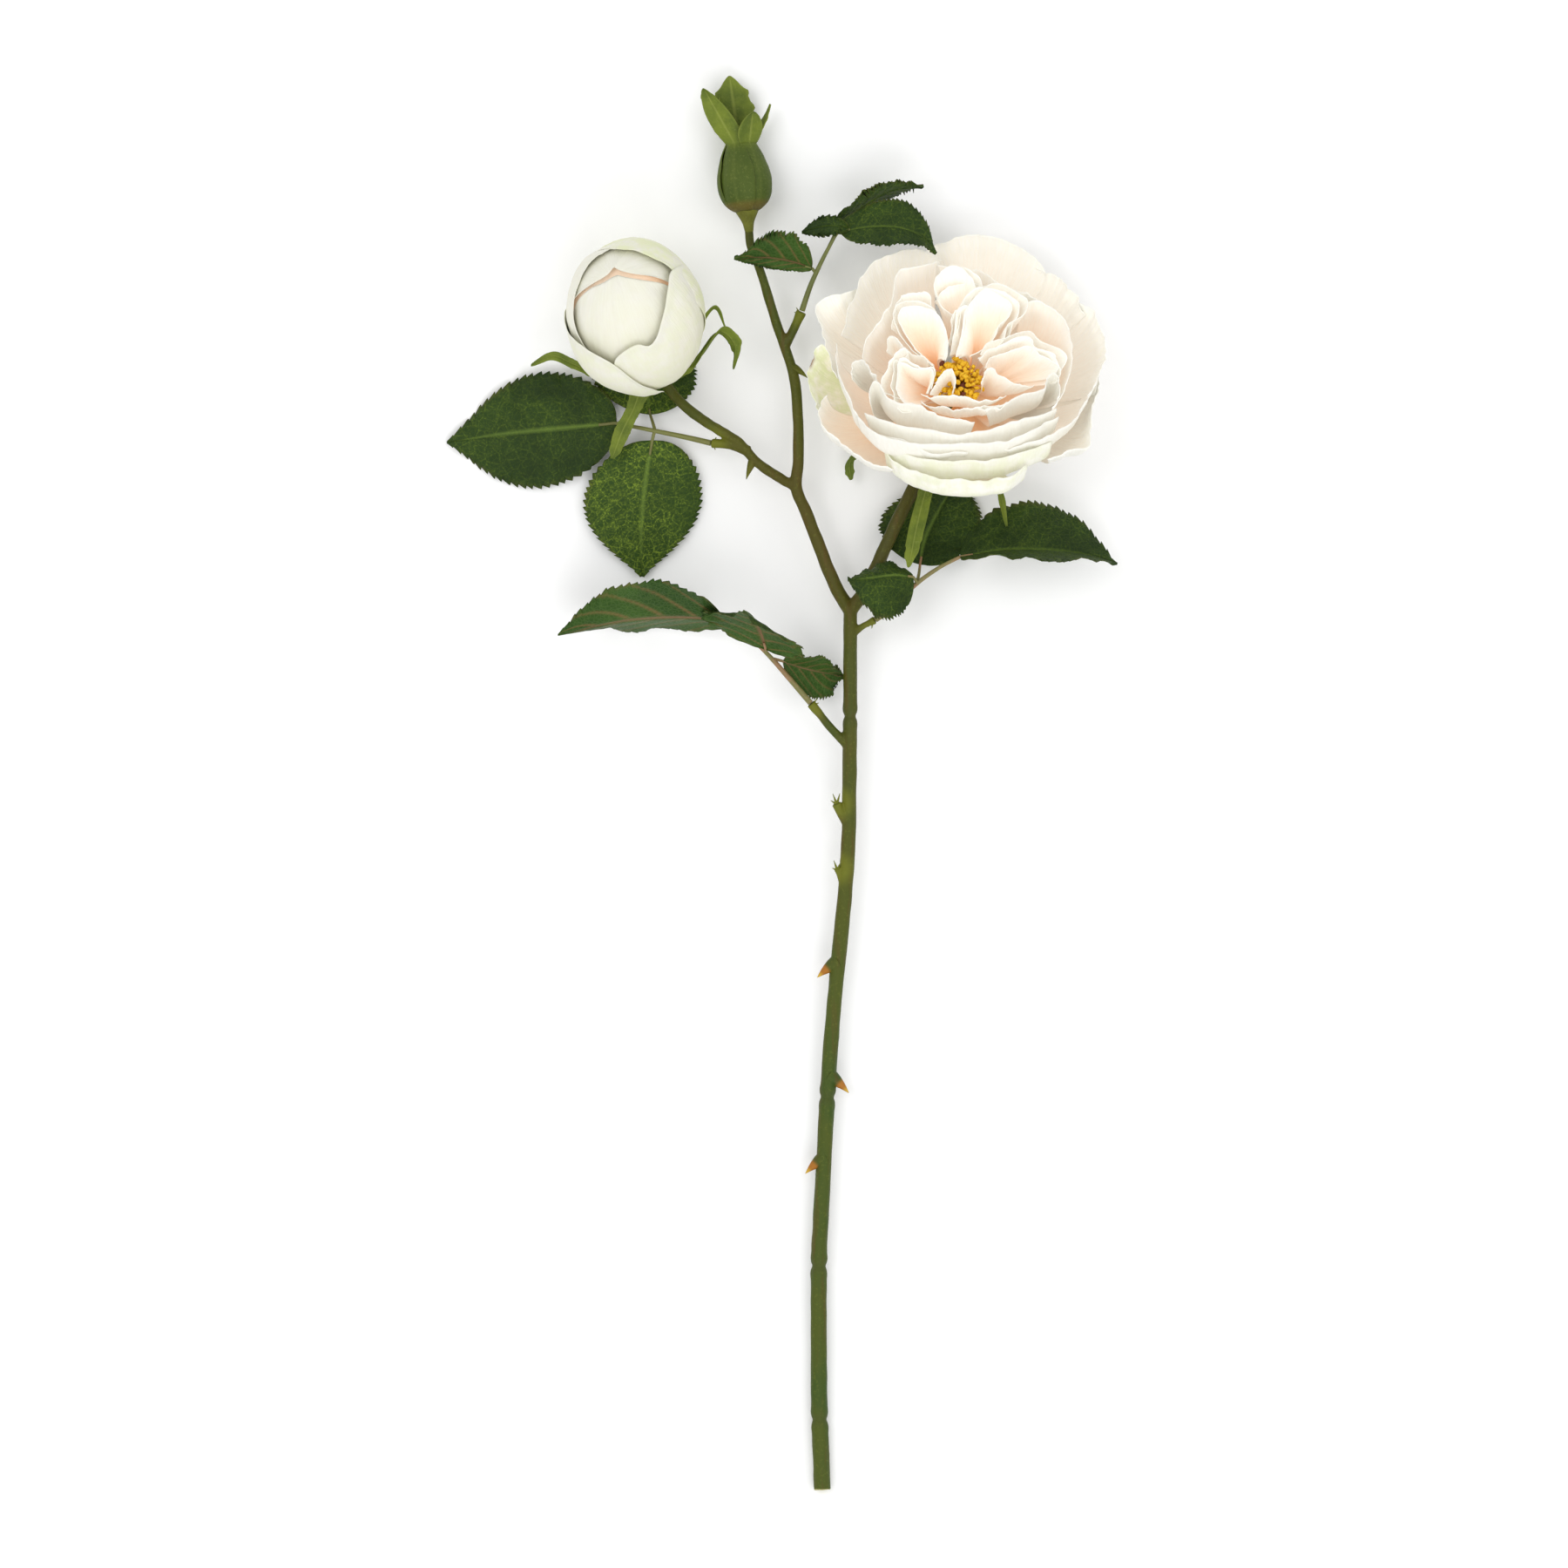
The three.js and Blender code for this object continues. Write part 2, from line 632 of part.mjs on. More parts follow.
const halfOpenHip = turned(halfOpen, [
  [SHOOT_RADIUS, -HALF_OPEN_HALF_LENGTH - HALF_OPEN_HIP_LENGTH],
  [3.8, -HALF_OPEN_HALF_LENGTH - HALF_OPEN_HIP_LENGTH + 2.5],
  [4.6, -HALF_OPEN_HALF_LENGTH - 2.5],
  [4.0, -HALF_OPEN_HALF_LENGTH],
  [2.6, -HALF_OPEN_HALF_LENGTH + 6],
]);
const HALF_OPEN_SEPALS = [
  [[[-52.0, 162.5, 14.0], [-55.5, 155.0, 16.5], [-58.5, 146.4, 16.8], [-62.9, 137.7, 15.5],
    [-67.0, 126.8, 13.4]], 10, [1, -0.3, 0]],
  [[[-49.0, 162.5, 14.5], [-38.0, 160.0, 19.0], [-31.6, 168.0, 23.5], [-24.4, 176.4, 26.0],
    [-18.9, 171.2, 26.5], [-19.4, 161.6, 24.5]], 8, [0.4, 0.5, 0.75]],
  [[[-48.5, 163.5, 15.0], [-35.0, 167.5, 21.0], [-31.3, 180.5, 30.0], [-26.8, 185.4, 32.0],
    [-22.8, 178.0, 30.5]], 6, [0.2, 0.5, 0.85]],
  [[[-53.0, 163.0, 14.5], [-68.0, 158.6, 15.5], [-82.0, 163.6, 17.5], [-90.0, 166.8, 18.0],
    [-98.6, 163.2, 17.0]], 8, [0.15, 1, 0.1]],
  [[[-50.5, 165.5, 14.0], [-51.5, 176.0, 7.6], [-53.5, 188.0, 4.0],
    [-55.5, 198.0, 2.6]], 8, [1, 0, 0]],
];
const halfOpenCalyx = joined([
  halfOpenHip,
  ...HALF_OPEN_SEPALS.map(([spine, width, across]) => sepalGeometry(spine, width, across)),
]).subtract(socket(HALF_OPEN_SHOOT, SHOOT_RADIUS));
add("half_open_calyx", geometryFrom(halfOpenCalyx), "sepal");

const CLOSED_BUD_SEAT = 2.6; // how far the bud narrows into its hip
// The closed bud: a pear-shaped body, and a funnel-shaped hip whose sepals wrap it and flare
// at their tips.
const closedBudRadiusAt = (h) => {
  const t = (h + CLOSED_BUD_SEAT) / (CLOSED_BUD_LENGTH + CLOSED_BUD_SEAT);
  return CLOSED_BUD_RADIUS * Math.pow(Math.sin(Math.PI * Math.pow(t, 0.62)), 0.7);
};
// The body stays clear of the flat faces of the sepals round it.
const budCoreRadiusAt = (h) => closedBudRadiusAt(h) * 0.97 - SEPAL_THICKNESS - CLEARANCE;
const budBodyHeights = [CLEARANCE * 2, 2, 5, 9, 13, 18, 23, 27];
add(
  "closed_bud_body",
  turned(closedBud, budBodyHeights.map((h) => [budCoreRadiusAt(h), h])),
  "sepal",
);
const closedHip = turned(closedBud, [
  [SHOOT_RADIUS * 0.8, -CLOSED_BUD_HIP_LENGTH],
  [2.4, -CLOSED_BUD_HIP_LENGTH + 4],
  [3.8, -3.6],
  [5.2, -0.6],
  [5.0, 0],
]);
const WRAPPED_LENGTH = 24; // of each sepal, before its tip leaves the bud
const TIP_WIDTH = 8; // of those tips
const CLOSED_SEPAL_TIPS = [
  [250, [-8, -7, 43]],
  [305, [6, -6, 33]],
  [20, [12, 4, 38]],
  [95, [0, 6, 47]],
  [160, [-3, 5, 46]],
];
function closedSepal([angle, tip]) {
  const halfAngle = THREE.MathUtils.degToRad(34);
  const middle = THREE.MathUtils.degToRad(angle);
  const neck = closedBudRadiusAt(WRAPPED_LENGTH) + 0.2;
  const surface = (u, s) => {
    const across = 2 * u - 1;
    if (s <= 0.7) {
      const h = lerp(-2, WRAPPED_LENGTH, s / 0.7);
      const r = closedBudRadiusAt(h) + 0.2;
      const turn = middle + halfAngle * across;
      return closedBud(r * Math.cos(turn), r * Math.sin(turn), h);
    }
    const t = (s - 0.7) / 0.3;
    const side = [-Math.sin(middle), Math.cos(middle), 0];
    const half = (TIP_WIDTH / 2) * Math.pow(Math.sin(Math.PI * (0.3 + 0.66 * t)), 0.8);
    const spine = [neck * Math.cos(middle), neck * Math.sin(middle), WRAPPED_LENGTH];
    return closedBud(...spine.map((x, k) => lerp(x, tip[k], t) + side[k] * across * half));
  };
  return plate(surface, SEPAL_THICKNESS, 3, 10);
}
add(
  "closed_bud_calyx",
  geometryFrom(joined([closedHip, ...CLOSED_SEPAL_TIPS.map(closedSepal)])),
  "sepal",
);

// ---- petals ----
// A petal runs from its root to its rim, a curve through (angle, r, h) or (x, y, h) points. It
// widens as it rises, and its profile bows out like a bowl.

const polar = ([angle, r, h]) => {
  const turn = THREE.MathUtils.degToRad(angle);
  return [r * Math.cos(turn), r * Math.sin(turn), h];
};

function petalSurface(frame, { rim, root, bowl = 1.8, rise = 1.6, narrow = 0.55 }) {
  const curve = curveOf(rim);
  const middle = curve.getPointAt(0.5);
  return (u, v) => {
    const edge = curve.getPointAt(u).clone();
    const out = 1 - Math.pow(1 - v, bowl);
    const spread = (0.06 + 0.94 * out) * (narrow + (1 - narrow) * v);
    const up = Math.pow(v, rise);
    return frame(
      lerp(root[0], middle.x, out) + (edge.x - middle.x) * spread,
      lerp(root[1], middle.y, out) + (edge.y - middle.y) * spread,
      lerp(root[2], middle.z, up) + (edge.z - middle.z) * v * v,
    );
  };
}

// A cup petal's rim: an arc about angle, a little further out at one end than at the other, so
// that neighbours in a ring pass each other.
function cupRim({ at, span, radius, height, drop = 5, rounding = 0.06, pinwheel = 0.045 }) {
  return [-1, -0.55, 0, 0.55, 1].map((u) =>
    polar([
      at + (u * span) / 2,
      radius * (1 - rounding * u * u + pinwheel * u),
      height - drop * u * u,
    ]),
  );
}

// The bloom's cup rings, from the outside in: root radius and height above the bloom's base, and
// each petal as [angle, span, share of the bloom's radius, height].
const RINGS = {
  guard: {
    root: [7.2, 2.6],
    petals: [
      [-33, 52, 1.04, -9],
      [10, 54, 1.04, -8],
      [53, 54, 1.1, -6],
      [98, 56, 1.14, -3],
      [145, 54, 1.09, -5],
      [189, 52, 1.02, -8],
      [233, 52, 0.99, -9],
      [280, 52, 1.0, -9],
    ],
  },
  outer: {
    root: [6.6, 5.4],
    petals: [
      [-20, 76, 0.9, -2],
      [46, 82, 0.93, -1],
      [117, 80, 0.93, 0],
      [187, 78, 0.87, -1],
      [268, 84, 0.86, -3],
    ],
  },
  middle: {
    root: [6.0, 8.0],
    petals: [
      [20, 96, 0.78, 3],
      [112, 94, 0.77, 4],
      [200, 92, 0.72, 4],
      [286, 98, 0.73, 2],
    ],
  },
  inner: {
    root: [5.4, 10.6],
    petals: [
      [60, 112, 0.63, 6],
      [180, 118, 0.58, 6],
      [300, 122, 0.62, 5],
    ],
  },
};

// The folded petals of the bloom's heart: rims near the rim plane, for a bloom of HEART_RADIUS,
// and a root at its height above the bloom's base.
const HEART_RADIUS = 58;
const HEART = {
  top_spoon: {
    rim: [[-4, 14, -1], [-9.5, 25, 4], [-8, 34, 8], [0, 37, 9], [6, 33, 8], [6.5, 25, 4],
      [3, 18, -1]],
    root: [0.6, 5.4, 18],
  },
  left_spoon: {
    rim: [[-8.5, -2.5, -3], [-15, 1.5, 3], [-20.5, 8, 6.5], [-22, 16, 8], [-16, 20.5, 8],
      [-8, 17, 4], [-4.5, 10, -2]],
    root: [-4.6, 2.6, 18],
  },
  left_back: {
    rim: [[-26, 14, 3], [-22.5, 22, 7], [-17, 27, 8], [-11.5, 26.5, 6]],
    root: [-3.6, 5.2, 16],
  },
  left_low: {
    rim: [[-28, 6, 5], [-23.5, 2.5, 7], [-18, -2, 6], [-12, -6, 2]],
    root: [-5.4, -1.2, 16],
  },
  right_narrow: {
    rim: [[2.5, 11, -2], [6, 20, 4], [10.5, 28, 8], [13.5, 25, 7], [9.5, 17, 3]],
    root: [3.0, 5.0, 17.5],
  },
  right_fold: {
    rim: [[13, 19, 3], [16, 26, 7], [21.5, 28, 8], [26.5, 21, 7], [25, 13, 4]],
    root: [4.8, 3.4, 16.5],
  },
  right_wave: {
    rim: [[12, 3, -2], [18, 6.5, 5], [25.5, 8, 8], [31, 5, 7], [30.5, -2, 4]],
    root: [5.8, 0.6, 17.5],
  },
  right_low: {
    rim: [[13, -5, -3], [20, -9, 3], [27, -12, 6], [31.5, -10, 6]],
    root: [5.4, -2.8, 16.5],
  },
  low_left: {
    rim: [[-8.5, -9, -3], [-15, -7.5, 4], [-21.5, -8, 7], [-22, -15, 7], [-15.5, -18, 4]],
    root: [-4.8, -4.2, 17.5],
  },
  low_small: {
    rim: [[-9, -15, 1], [-5.5, -11.5, 5], [-2, -9.5, 7], [-0.5, -13, 5], [0.5, -17, 2]],
    root: [-1.4, -6.0, 18.5],
  },
  low_right: {
    rim: [[3.5, -17.5, 0], [9, -18.5, 5], [16, -18, 7], [21, -14.5, 5]],
    root: [2.8, -5.6, 16],
  },
};

const petals = [];
for (const [ring, { root, petals: places }] of Object.entries(RINGS))
  places.forEach(([at, span, share, height], i) => {
    const [x, y, up] = polar([at, ...root]);
    petals.push({
      name: `petal_${ring}_${i + 1}`,
      surface: petalSurface(bloom, {
        rim: cupRim({ at, span, radius: BLOOM_RADIUS * share, height }),
        root: [x, y, up - BLOOM_DEPTH],
      }),
      colour: "petal",
      grid: [6, 4],
    });
  });
const heartScale = BLOOM_RADIUS / HEART_RADIUS;
for (const [name, { rim, root: [x, y, up] }] of Object.entries(HEART))
  petals.push({
    name: `petal_heart_${name}`,
    surface: petalSurface(bloom, {
      rim: rim.map(([rimX, rimY, h]) => [rimX * heartScale, rimY * heartScale, h]),
      root: [x, y, up - BLOOM_DEPTH],
      bowl: 1.7,
      rise: 1.25,
      narrow: 0.4,
    }),
    colour: "petal",
    grid: [6, 3],
  });

// The half-open flower: petals wrapped round a closed body of revolution. Each rim runs through
// [angle, h, how far it stands out from the body], and the petal fans up to it from the hip.
const HALF_OPEN_PETALS = [
  [[196, 12, 0], [200, 20, 0], [218, 25.5, 0], [255, 27.5, 0], [292, 27.5, 0], [328, 24.5, 0],
    [346, 17, 0], [352, 8, 0]],
  [[-4, 12, 0.9], [8, 21, 0.9], [35, 26, 0.9], [75, 27.5, 0.9], [115, 26.5, 0.9], [150, 19, 0.9]],
  [[88, 12, 1.9], [112, 22, 2.1], [140, 26, 3], [170, 25, 2.2], [200, 22.5, 1.9],
    [222, 15, 1.9], [232, 4, 1.9]],
  [[-14, 2, 3], [4, 13, 3.2], [26, 21, 4], [52, 25, 4.6], [80, 26, 5], [104, 23, 4],
    [122, 12, 3.2]],
  [[262, -20, 2.9], [274, -10, 3], [290, 5, 3.1], [314, 13.5, 3.1], [338, 18, 3.4],
    [362, 18, 4.2], [386, 10, 4.2]],
  [[150, -6, 5.4], [176, 3, 5.4], [201, 6.5, 5.4], [228, 7, 5.4], [254, 2.5, 5.4],
    [272, -11, 4.6], [284, -20, 4.2]],
];
const wrapRadius = (h) => {
  const level = (h + 3) / (HALF_OPEN_HALF_LENGTH + 1);
  return (HALF_OPEN_RADIUS - 3) * Math.sqrt(Math.max(0.02, 1 - level * level));
};
HALF_OPEN_PETALS.forEach((rim, i) => {
  const curve = curveOf(rim);
  const middle = curve.getPointAt(0.5).x;
  const base = -HALF_OPEN_HALF_LENGTH + 1.2 + 0.25 * i;
  const surface = (u, v) => {
    const edge = curve.getPointAt(u);
    const h = lerp(base, edge.y, v);
    const reach = 0.55 + 0.45 * Math.sqrt(v);
    const turn = THREE.MathUtils.degToRad(middle + (edge.x - middle) * reach);
    const r = Math.max(4.6 + 0.3 * i, wrapRadius(h) + edge.z * Math.pow(v, 0.6));
    return halfOpen(r * Math.cos(turn), r * Math.sin(turn), h);
  };
  petals.push({ name: `half_open_petal_${i + 1}`, surface, colour: "bud_petal", grid: [8, 5] });
});
// Its innermost petal is rolled up on itself.
const ROLL_TURN_DEG = 430;
petals.push({
  name: "half_open_petal_rolled",
  surface: (u, v) => {
    const h = lerp(-HALF_OPEN_HALF_LENGTH + 5, 21 - 3 * u, v);
    const turn = THREE.MathUtils.degToRad(200 + ROLL_TURN_DEG * u);
    const r = lerp(4, 12.5, u) * (0.45 + 0.55 * Math.sin(Math.PI * (0.15 + 0.62 * v)));
    return halfOpen(r * Math.cos(turn), r * Math.sin(turn), h);
  },
  colour: "bud_petal",
  grid: [16, 4],
});

cutters.push(bloomCalyx, halfOpenCalyx, solidOf(bloomHip), solidOf(halfOpenHip));
for (const { name, surface, colour, grid } of petals) {
  const thick = PETAL_THICKNESS + 2 * CLEARANCE;
  add(name, geometryFrom(cutBack(solidOf(plate(surface, PETAL_THICKNESS, ...grid)))), colour);
  cutters.push(solidOf(plate(surface, thick, ...grid, CLEARANCE)));
}

// The stamens, as one tuft on the receptacle.
const tuftBase = -BLOOM_DEPTH + 16 + CLEARANCE;
const tuft = turned(
  bloom,
  [[2.4, tuftBase], [5.5, tuftBase + 5], [7, tuftBase + 9], [4, tuftBase + 10.5]],
  8,
);
add("stamens", geometryFrom(cutBack(solidOf(tuft))), "stamen");

export default rose;
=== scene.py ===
import math

import bpy
import numpy as np
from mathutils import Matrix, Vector, noise


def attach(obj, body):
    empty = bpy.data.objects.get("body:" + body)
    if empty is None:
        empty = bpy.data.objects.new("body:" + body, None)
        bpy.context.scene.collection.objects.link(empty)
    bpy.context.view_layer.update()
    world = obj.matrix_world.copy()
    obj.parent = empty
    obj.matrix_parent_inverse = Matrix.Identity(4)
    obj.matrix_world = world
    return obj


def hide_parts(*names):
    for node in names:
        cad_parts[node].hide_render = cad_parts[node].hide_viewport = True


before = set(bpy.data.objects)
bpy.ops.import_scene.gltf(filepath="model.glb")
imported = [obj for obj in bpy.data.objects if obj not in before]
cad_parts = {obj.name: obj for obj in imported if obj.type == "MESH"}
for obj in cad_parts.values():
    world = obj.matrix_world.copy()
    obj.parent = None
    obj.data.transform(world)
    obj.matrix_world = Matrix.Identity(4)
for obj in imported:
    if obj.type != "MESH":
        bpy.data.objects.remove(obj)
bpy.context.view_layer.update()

# ---- driving dimensions, in millimetres as in the CAD source ----
MM = 0.001
PETAL_THICKNESS = 0.42
LEAF_THICKNESS = 0.45
SEPAL_THICKNESS = 0.6
CANE_RADIUS_CUT = 3.3
CANE_RADIUS_FORK = 2.7
SHOOT_RADIUS = 2.0
BLOOM_SHOOT_RADIUS = 2.6
GROOVE_DEPTH = 0.6
GROOVE_HALF_LENGTH = 1.6
PRICKLE_LENGTH = 6.2
PRICKLE_RADIUS = 1.5
STALK_RADIUS = 0.95
BLOOM_TILT_DEG = 28
BLOOM_CENTRE = (67.3, 163.9, 51.0)
BLOOM_DEPTH = 38
BLOOM_HIP_LENGTH = 9
HALF_OPEN_CENTRE = (-58.5, 182.9, 40.0)
HALF_OPEN_AXIS = (-0.25, 0.6, 0.76)
HALF_OPEN_RADIUS = 27
HALF_OPEN_HALF_LENGTH = 31
HALF_OPEN_HIP_LENGTH = 8
CLOSED_BUD_BASE = (-14.6, 225.4, 14.2)
CLOSED_BUD_AXIS = (-0.1, 0.99, -0.06)
CLOSED_BUD_RADIUS = 9.6
CLOSED_BUD_LENGTH = 31
CLOSED_BUD_HIP_LENGTH = 10.5
CLOSED_BUD_SEAT = 2.6
WRAPPED_LENGTH = 24

# ---- shapes: points in millimetres, faces and per-point values ----


class Shape:
    def __init__(self, points, faces, **values):
        self.points = np.asarray(points, float).reshape(-1, 3)
        self.faces = faces
        self.values = {k: np.broadcast_to(v, len(self.points)) for k, v in values.items()}


def unit(a):
    a = np.asarray(a, float)
    return a / np.maximum(np.linalg.norm(a, axis=-1, keepdims=True), 1e-9)


def ease(x, low, high):
    t = np.clip((np.asarray(x, float) - low) / (high - low), 0, 1)
    return t * t * (3 - 2 * t)


def lerp(a, b, t):
    return a + (b - a) * t


def ridge(x, width):
    """A soft ridge of height 1 along x = 0."""
    return np.exp(-((x / width) ** 2))


def axes(nu, nv, first=0):
    """A column of nu shares across a sheet, from first to 1, and a row of nv shares along it."""
    return np.linspace(first, 1, nu)[:, None], np.linspace(0, 1, nv)[None, :]


def wave(x, seed, octaves=2):
    """A smooth wander between about -1 and 1 along x."""
    x = np.asarray(x, float)
    flat = [
        sum(noise.noise((t * 2**k, seed * 3.7 + k, 0.5)) / 2**k for k in range(octaves))
        for t in x.ravel()
    ]
    return 1.6 * np.array(flat).reshape(x.shape)


def curve(points, count):
    """count points evenly along a centripetal Catmull-Rom curve."""
    p = np.asarray(points, float)
    p = np.vstack([2 * p[0] - p[1], p, 2 * p[-1] - p[-2]])
    knots = np.concatenate([[0], np.cumsum(np.linalg.norm(np.diff(p, axis=0), axis=1) ** 0.5)])
    dense = []
    for k in range(1, len(p) - 2):
        t0, t1, t2, t3 = knots[k - 1 : k + 3]
        t = np.linspace(t1, t2, 30)[:, None]
        a1 = ((t1 - t) * p[k - 1] + (t - t0) * p[k]) / (t1 - t0)
        a2 = ((t2 - t) * p[k] + (t - t1) * p[k + 1]) / (t2 - t1)
        a3 = ((t3 - t) * p[k + 1] + (t - t2) * p[k + 2]) / (t3 - t2)
        b1 = ((t2 - t) * a1 + (t - t0) * a2) / (t2 - t0)
        b2 = ((t3 - t) * a2 + (t - t1) * a3) / (t3 - t1)
        dense.append(((t2 - t) * b1 + (t - t1) * b2) / (t2 - t1))
    dense = np.vstack(dense)
    run = np.concatenate([[0], np.cumsum(np.linalg.norm(np.diff(dense, axis=0), axis=1))])
    at = np.linspace(0, run[-1], count)
    return np.stack([np.interp(at, run, dense[:, k]) for k in range(3)], axis=1)


def normals_of(grid):
    along = np.gradient(grid, axis=0)
    across = np.gradient(grid, axis=1)
    return unit(np.cross(along, across))


def sheet(grid, thickness, rim=0.5, relief=None, **values):
    """A closed plate about a grid of points, thinner towards its edges, that stays over the floor."""
    nu, nv = grid.shape[:2]
    normal = normals_of(grid)
    if relief is not None:
        grid = grid + normal * relief[..., None]
    grid[..., 2] = grid[..., 2].clip(thickness / 2 + 0.1)
    u, v = axes(nu, nv)
    inset = np.minimum(np.minimum(u, 1 - u) * 2, (1 - v) * 1.5)
    half = thickness / 2 * (rim + (1 - rim) * ease(inset, 0, 0.25))[..., None]
    points = np.concatenate([(grid + normal * half).reshape(-1, 3), (grid - normal * half).reshape(-1, 3)])
    n = nu * nv
    at = np.arange(n).reshape(nu, nv)
    a, b, c, d = at[:-1, :-1], at[1:, :-1], at[1:, 1:], at[:-1, 1:]
    top = np.stack([a, b, c, d], -1).reshape(-1, 4)
    under = np.stack([a, d, c, b], -1).reshape(-1, 4) + n
    loop = np.concatenate([at[:-1, 0], at[-1, :-1], at[:0:-1, -1], at[0, :0:-1]])
    nxt = np.roll(loop, -1)
    wall = np.stack([nxt, loop, loop + n, nxt + n], -1)
    faces = np.concatenate([top, under, wall]).tolist()
    made = {"across": u, "along": v, **values}
    both = {k: np.tile(np.broadcast_to(x, (nu, nv)).ravel(), 2) for k, x in made.items()}
    both["under"] = np.repeat([0.0, 1.0], n)
    return Shape(points, faces, **both)


def loft(rings, **values):
    """A closed body through rings of points, with a fan over each end."""
    rings = np.asarray(rings, float)
    count, sides = rings.shape[:2]
    points = np.vstack([rings.reshape(-1, 3), rings[0].mean(0), rings[-1].mean(0)])
    faces = []
    for i in range(count - 1):
        for j in range(sides):
            a = i * sides + j
            b = i * sides + (j + 1) % sides
            faces.append((a, b, b + sides, a + sides))
    last = (count - 1) * sides
    for j in range(sides):
        k = (j + 1) % sides
        faces.append((count * sides, k, j))
        faces.append((count * sides + 1, last + j, last + k))
    along = np.append(np.repeat(np.linspace(0, 1, count), sides), [0, 1])
    return Shape(points, faces, along=along, **values)


def tube(points, radius, count=24, sides=12, **values):
    """A round tube along a curve; radius is a number or a function of 0..1."""
    centre = curve(points, count)
    way = unit(np.gradient(centre, axis=0))
    side = unit(np.cross(way[0], (0.3, 0.2, 1.0)))
    rings = []
    for i, (c, w) in enumerate(zip(centre, way)):
        side = unit(side - w * np.dot(side, w))
        other = np.cross(w, side)
        r = radius(i / (count - 1)) if callable(radius) else radius
        turn = np.linspace(0, 2 * math.pi, sides, endpoint=False)[:, None]
        rings.append(c + r * (np.cos(turn) * side + np.sin(turn) * other))
    return loft(rings, **values)


def flower_frame(centre, axis):
    """A flower's own frame: x and y across it, h along its axis."""
    h = unit(axis)
    q = unit(np.cross(h, (1, 0, 0)))
    p = np.cross(q, h)
    centre = np.asarray(centre, float)

    def place(x, y, z):
        x, y, z = (np.asarray(c, float)[..., None] for c in (x, y, z))
        return centre + x * p + y * q + z * h

    return place


tilt = math.radians(BLOOM_TILT_DEG)
bloom = flower_frame(BLOOM_CENTRE, (0, math.sin(tilt), math.cos(tilt)))
half_open = flower_frame(HALF_OPEN_CENTRE, HALF_OPEN_AXIS)
closed_bud = flower_frame(CLOSED_BUD_BASE, CLOSED_BUD_AXIS)


def turned(place, profile, sides=36, **values):
    """A body of revolution about a flower's axis, from (radius, h) pairs that rise."""
    smooth = curve([(r, 0, h) for r, h in profile], 28)
    turn = np.linspace(0, 2 * math.pi, sides, endpoint=False)
    rings = [place(r * np.cos(turn), r * np.sin(turn), h + 0 * turn) for r, _, h in smooth]
    return loft(rings, **values)


def combined(shapes):
    names = sorted({k for s in shapes for k in s.values})
    start = 0
    faces = []
    for s in shapes:
        faces += [tuple(i + start for i in f) for f in s.faces]
        start += len(s.points)
    values = {
        k: np.concatenate([s.values.get(k, np.zeros(len(s.points))) for s in shapes]) for k in names
    }
    return Shape(np.vstack([s.points for s in shapes]), faces, **values)


def linked(name, data):
    made = bpy.data.objects.new(name, data)
    bpy.context.scene.collection.objects.link(made)
    return made


def mesh_of(name, shape):
    mesh = bpy.data.meshes.new(name)
    mesh.from_pydata((shape.points * MM).tolist(), [], shape.faces)
    return mesh


def piece(name, shapes, finish, slot, *nodes):
    """Makes one piece of the rose, in place of the CAD nodes named."""
    shape = combined(shapes if isinstance(shapes, list) else [shapes])
    mesh = mesh_of(name, shape)
    for key, values in shape.values.items():
        layer = mesh.attributes.new(key, "FLOAT", "POINT")
        layer.data.foreach_set("value", values.astype(np.float32))
    mesh.shade_smooth()
    mesh.materials.append(finish)
    made = linked(name, mesh)
    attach(made, "root")
    if nodes:
        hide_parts(*nodes)


def remeshed(shape, voxel, smoothing):
    """Joins overlapping bodies into one skin with soft fillets between them."""
    mesh = mesh_of("skin", shape)
    body = linked("skin", mesh)
    joiner = body.modifiers.new("join", "REMESH")
    joiner.mode = "VOXEL"
    joiner.voxel_size = voxel * MM
    softener = body.modifiers.new("soften", "SMOOTH")
    softener.factor = 0.5
    softener.iterations = smoothing
    evaluated = body.evaluated_get(bpy.context.evaluated_depsgraph_get())
    skin = evaluated.to_mesh()
    points = np.empty(len(skin.vertices) * 3, np.float32)
    skin.vertices.foreach_get("co", points)
    normals = np.empty(len(skin.vertices) * 3, np.float32)
    skin.vertices.foreach_get("normal", normals)
    faces = [tuple(f.vertices) for f in skin.polygons]
    evaluated.to_mesh_clear()
    bpy.data.objects.remove(body)
    bpy.data.meshes.remove(mesh)
    made = Shape(points.reshape(-1, 3) / MM, faces)
    made.normals = normals.reshape(-1, 3)
    return made


# ---- finishes ----


def srgb(r, g, b):
    def channel(c):
        c /= 255
        return c / 12.92 if c <= 0.04045 else ((c + 0.055) / 1.055) ** 2.4

    return (channel(r), channel(g), channel(b), 1.0)


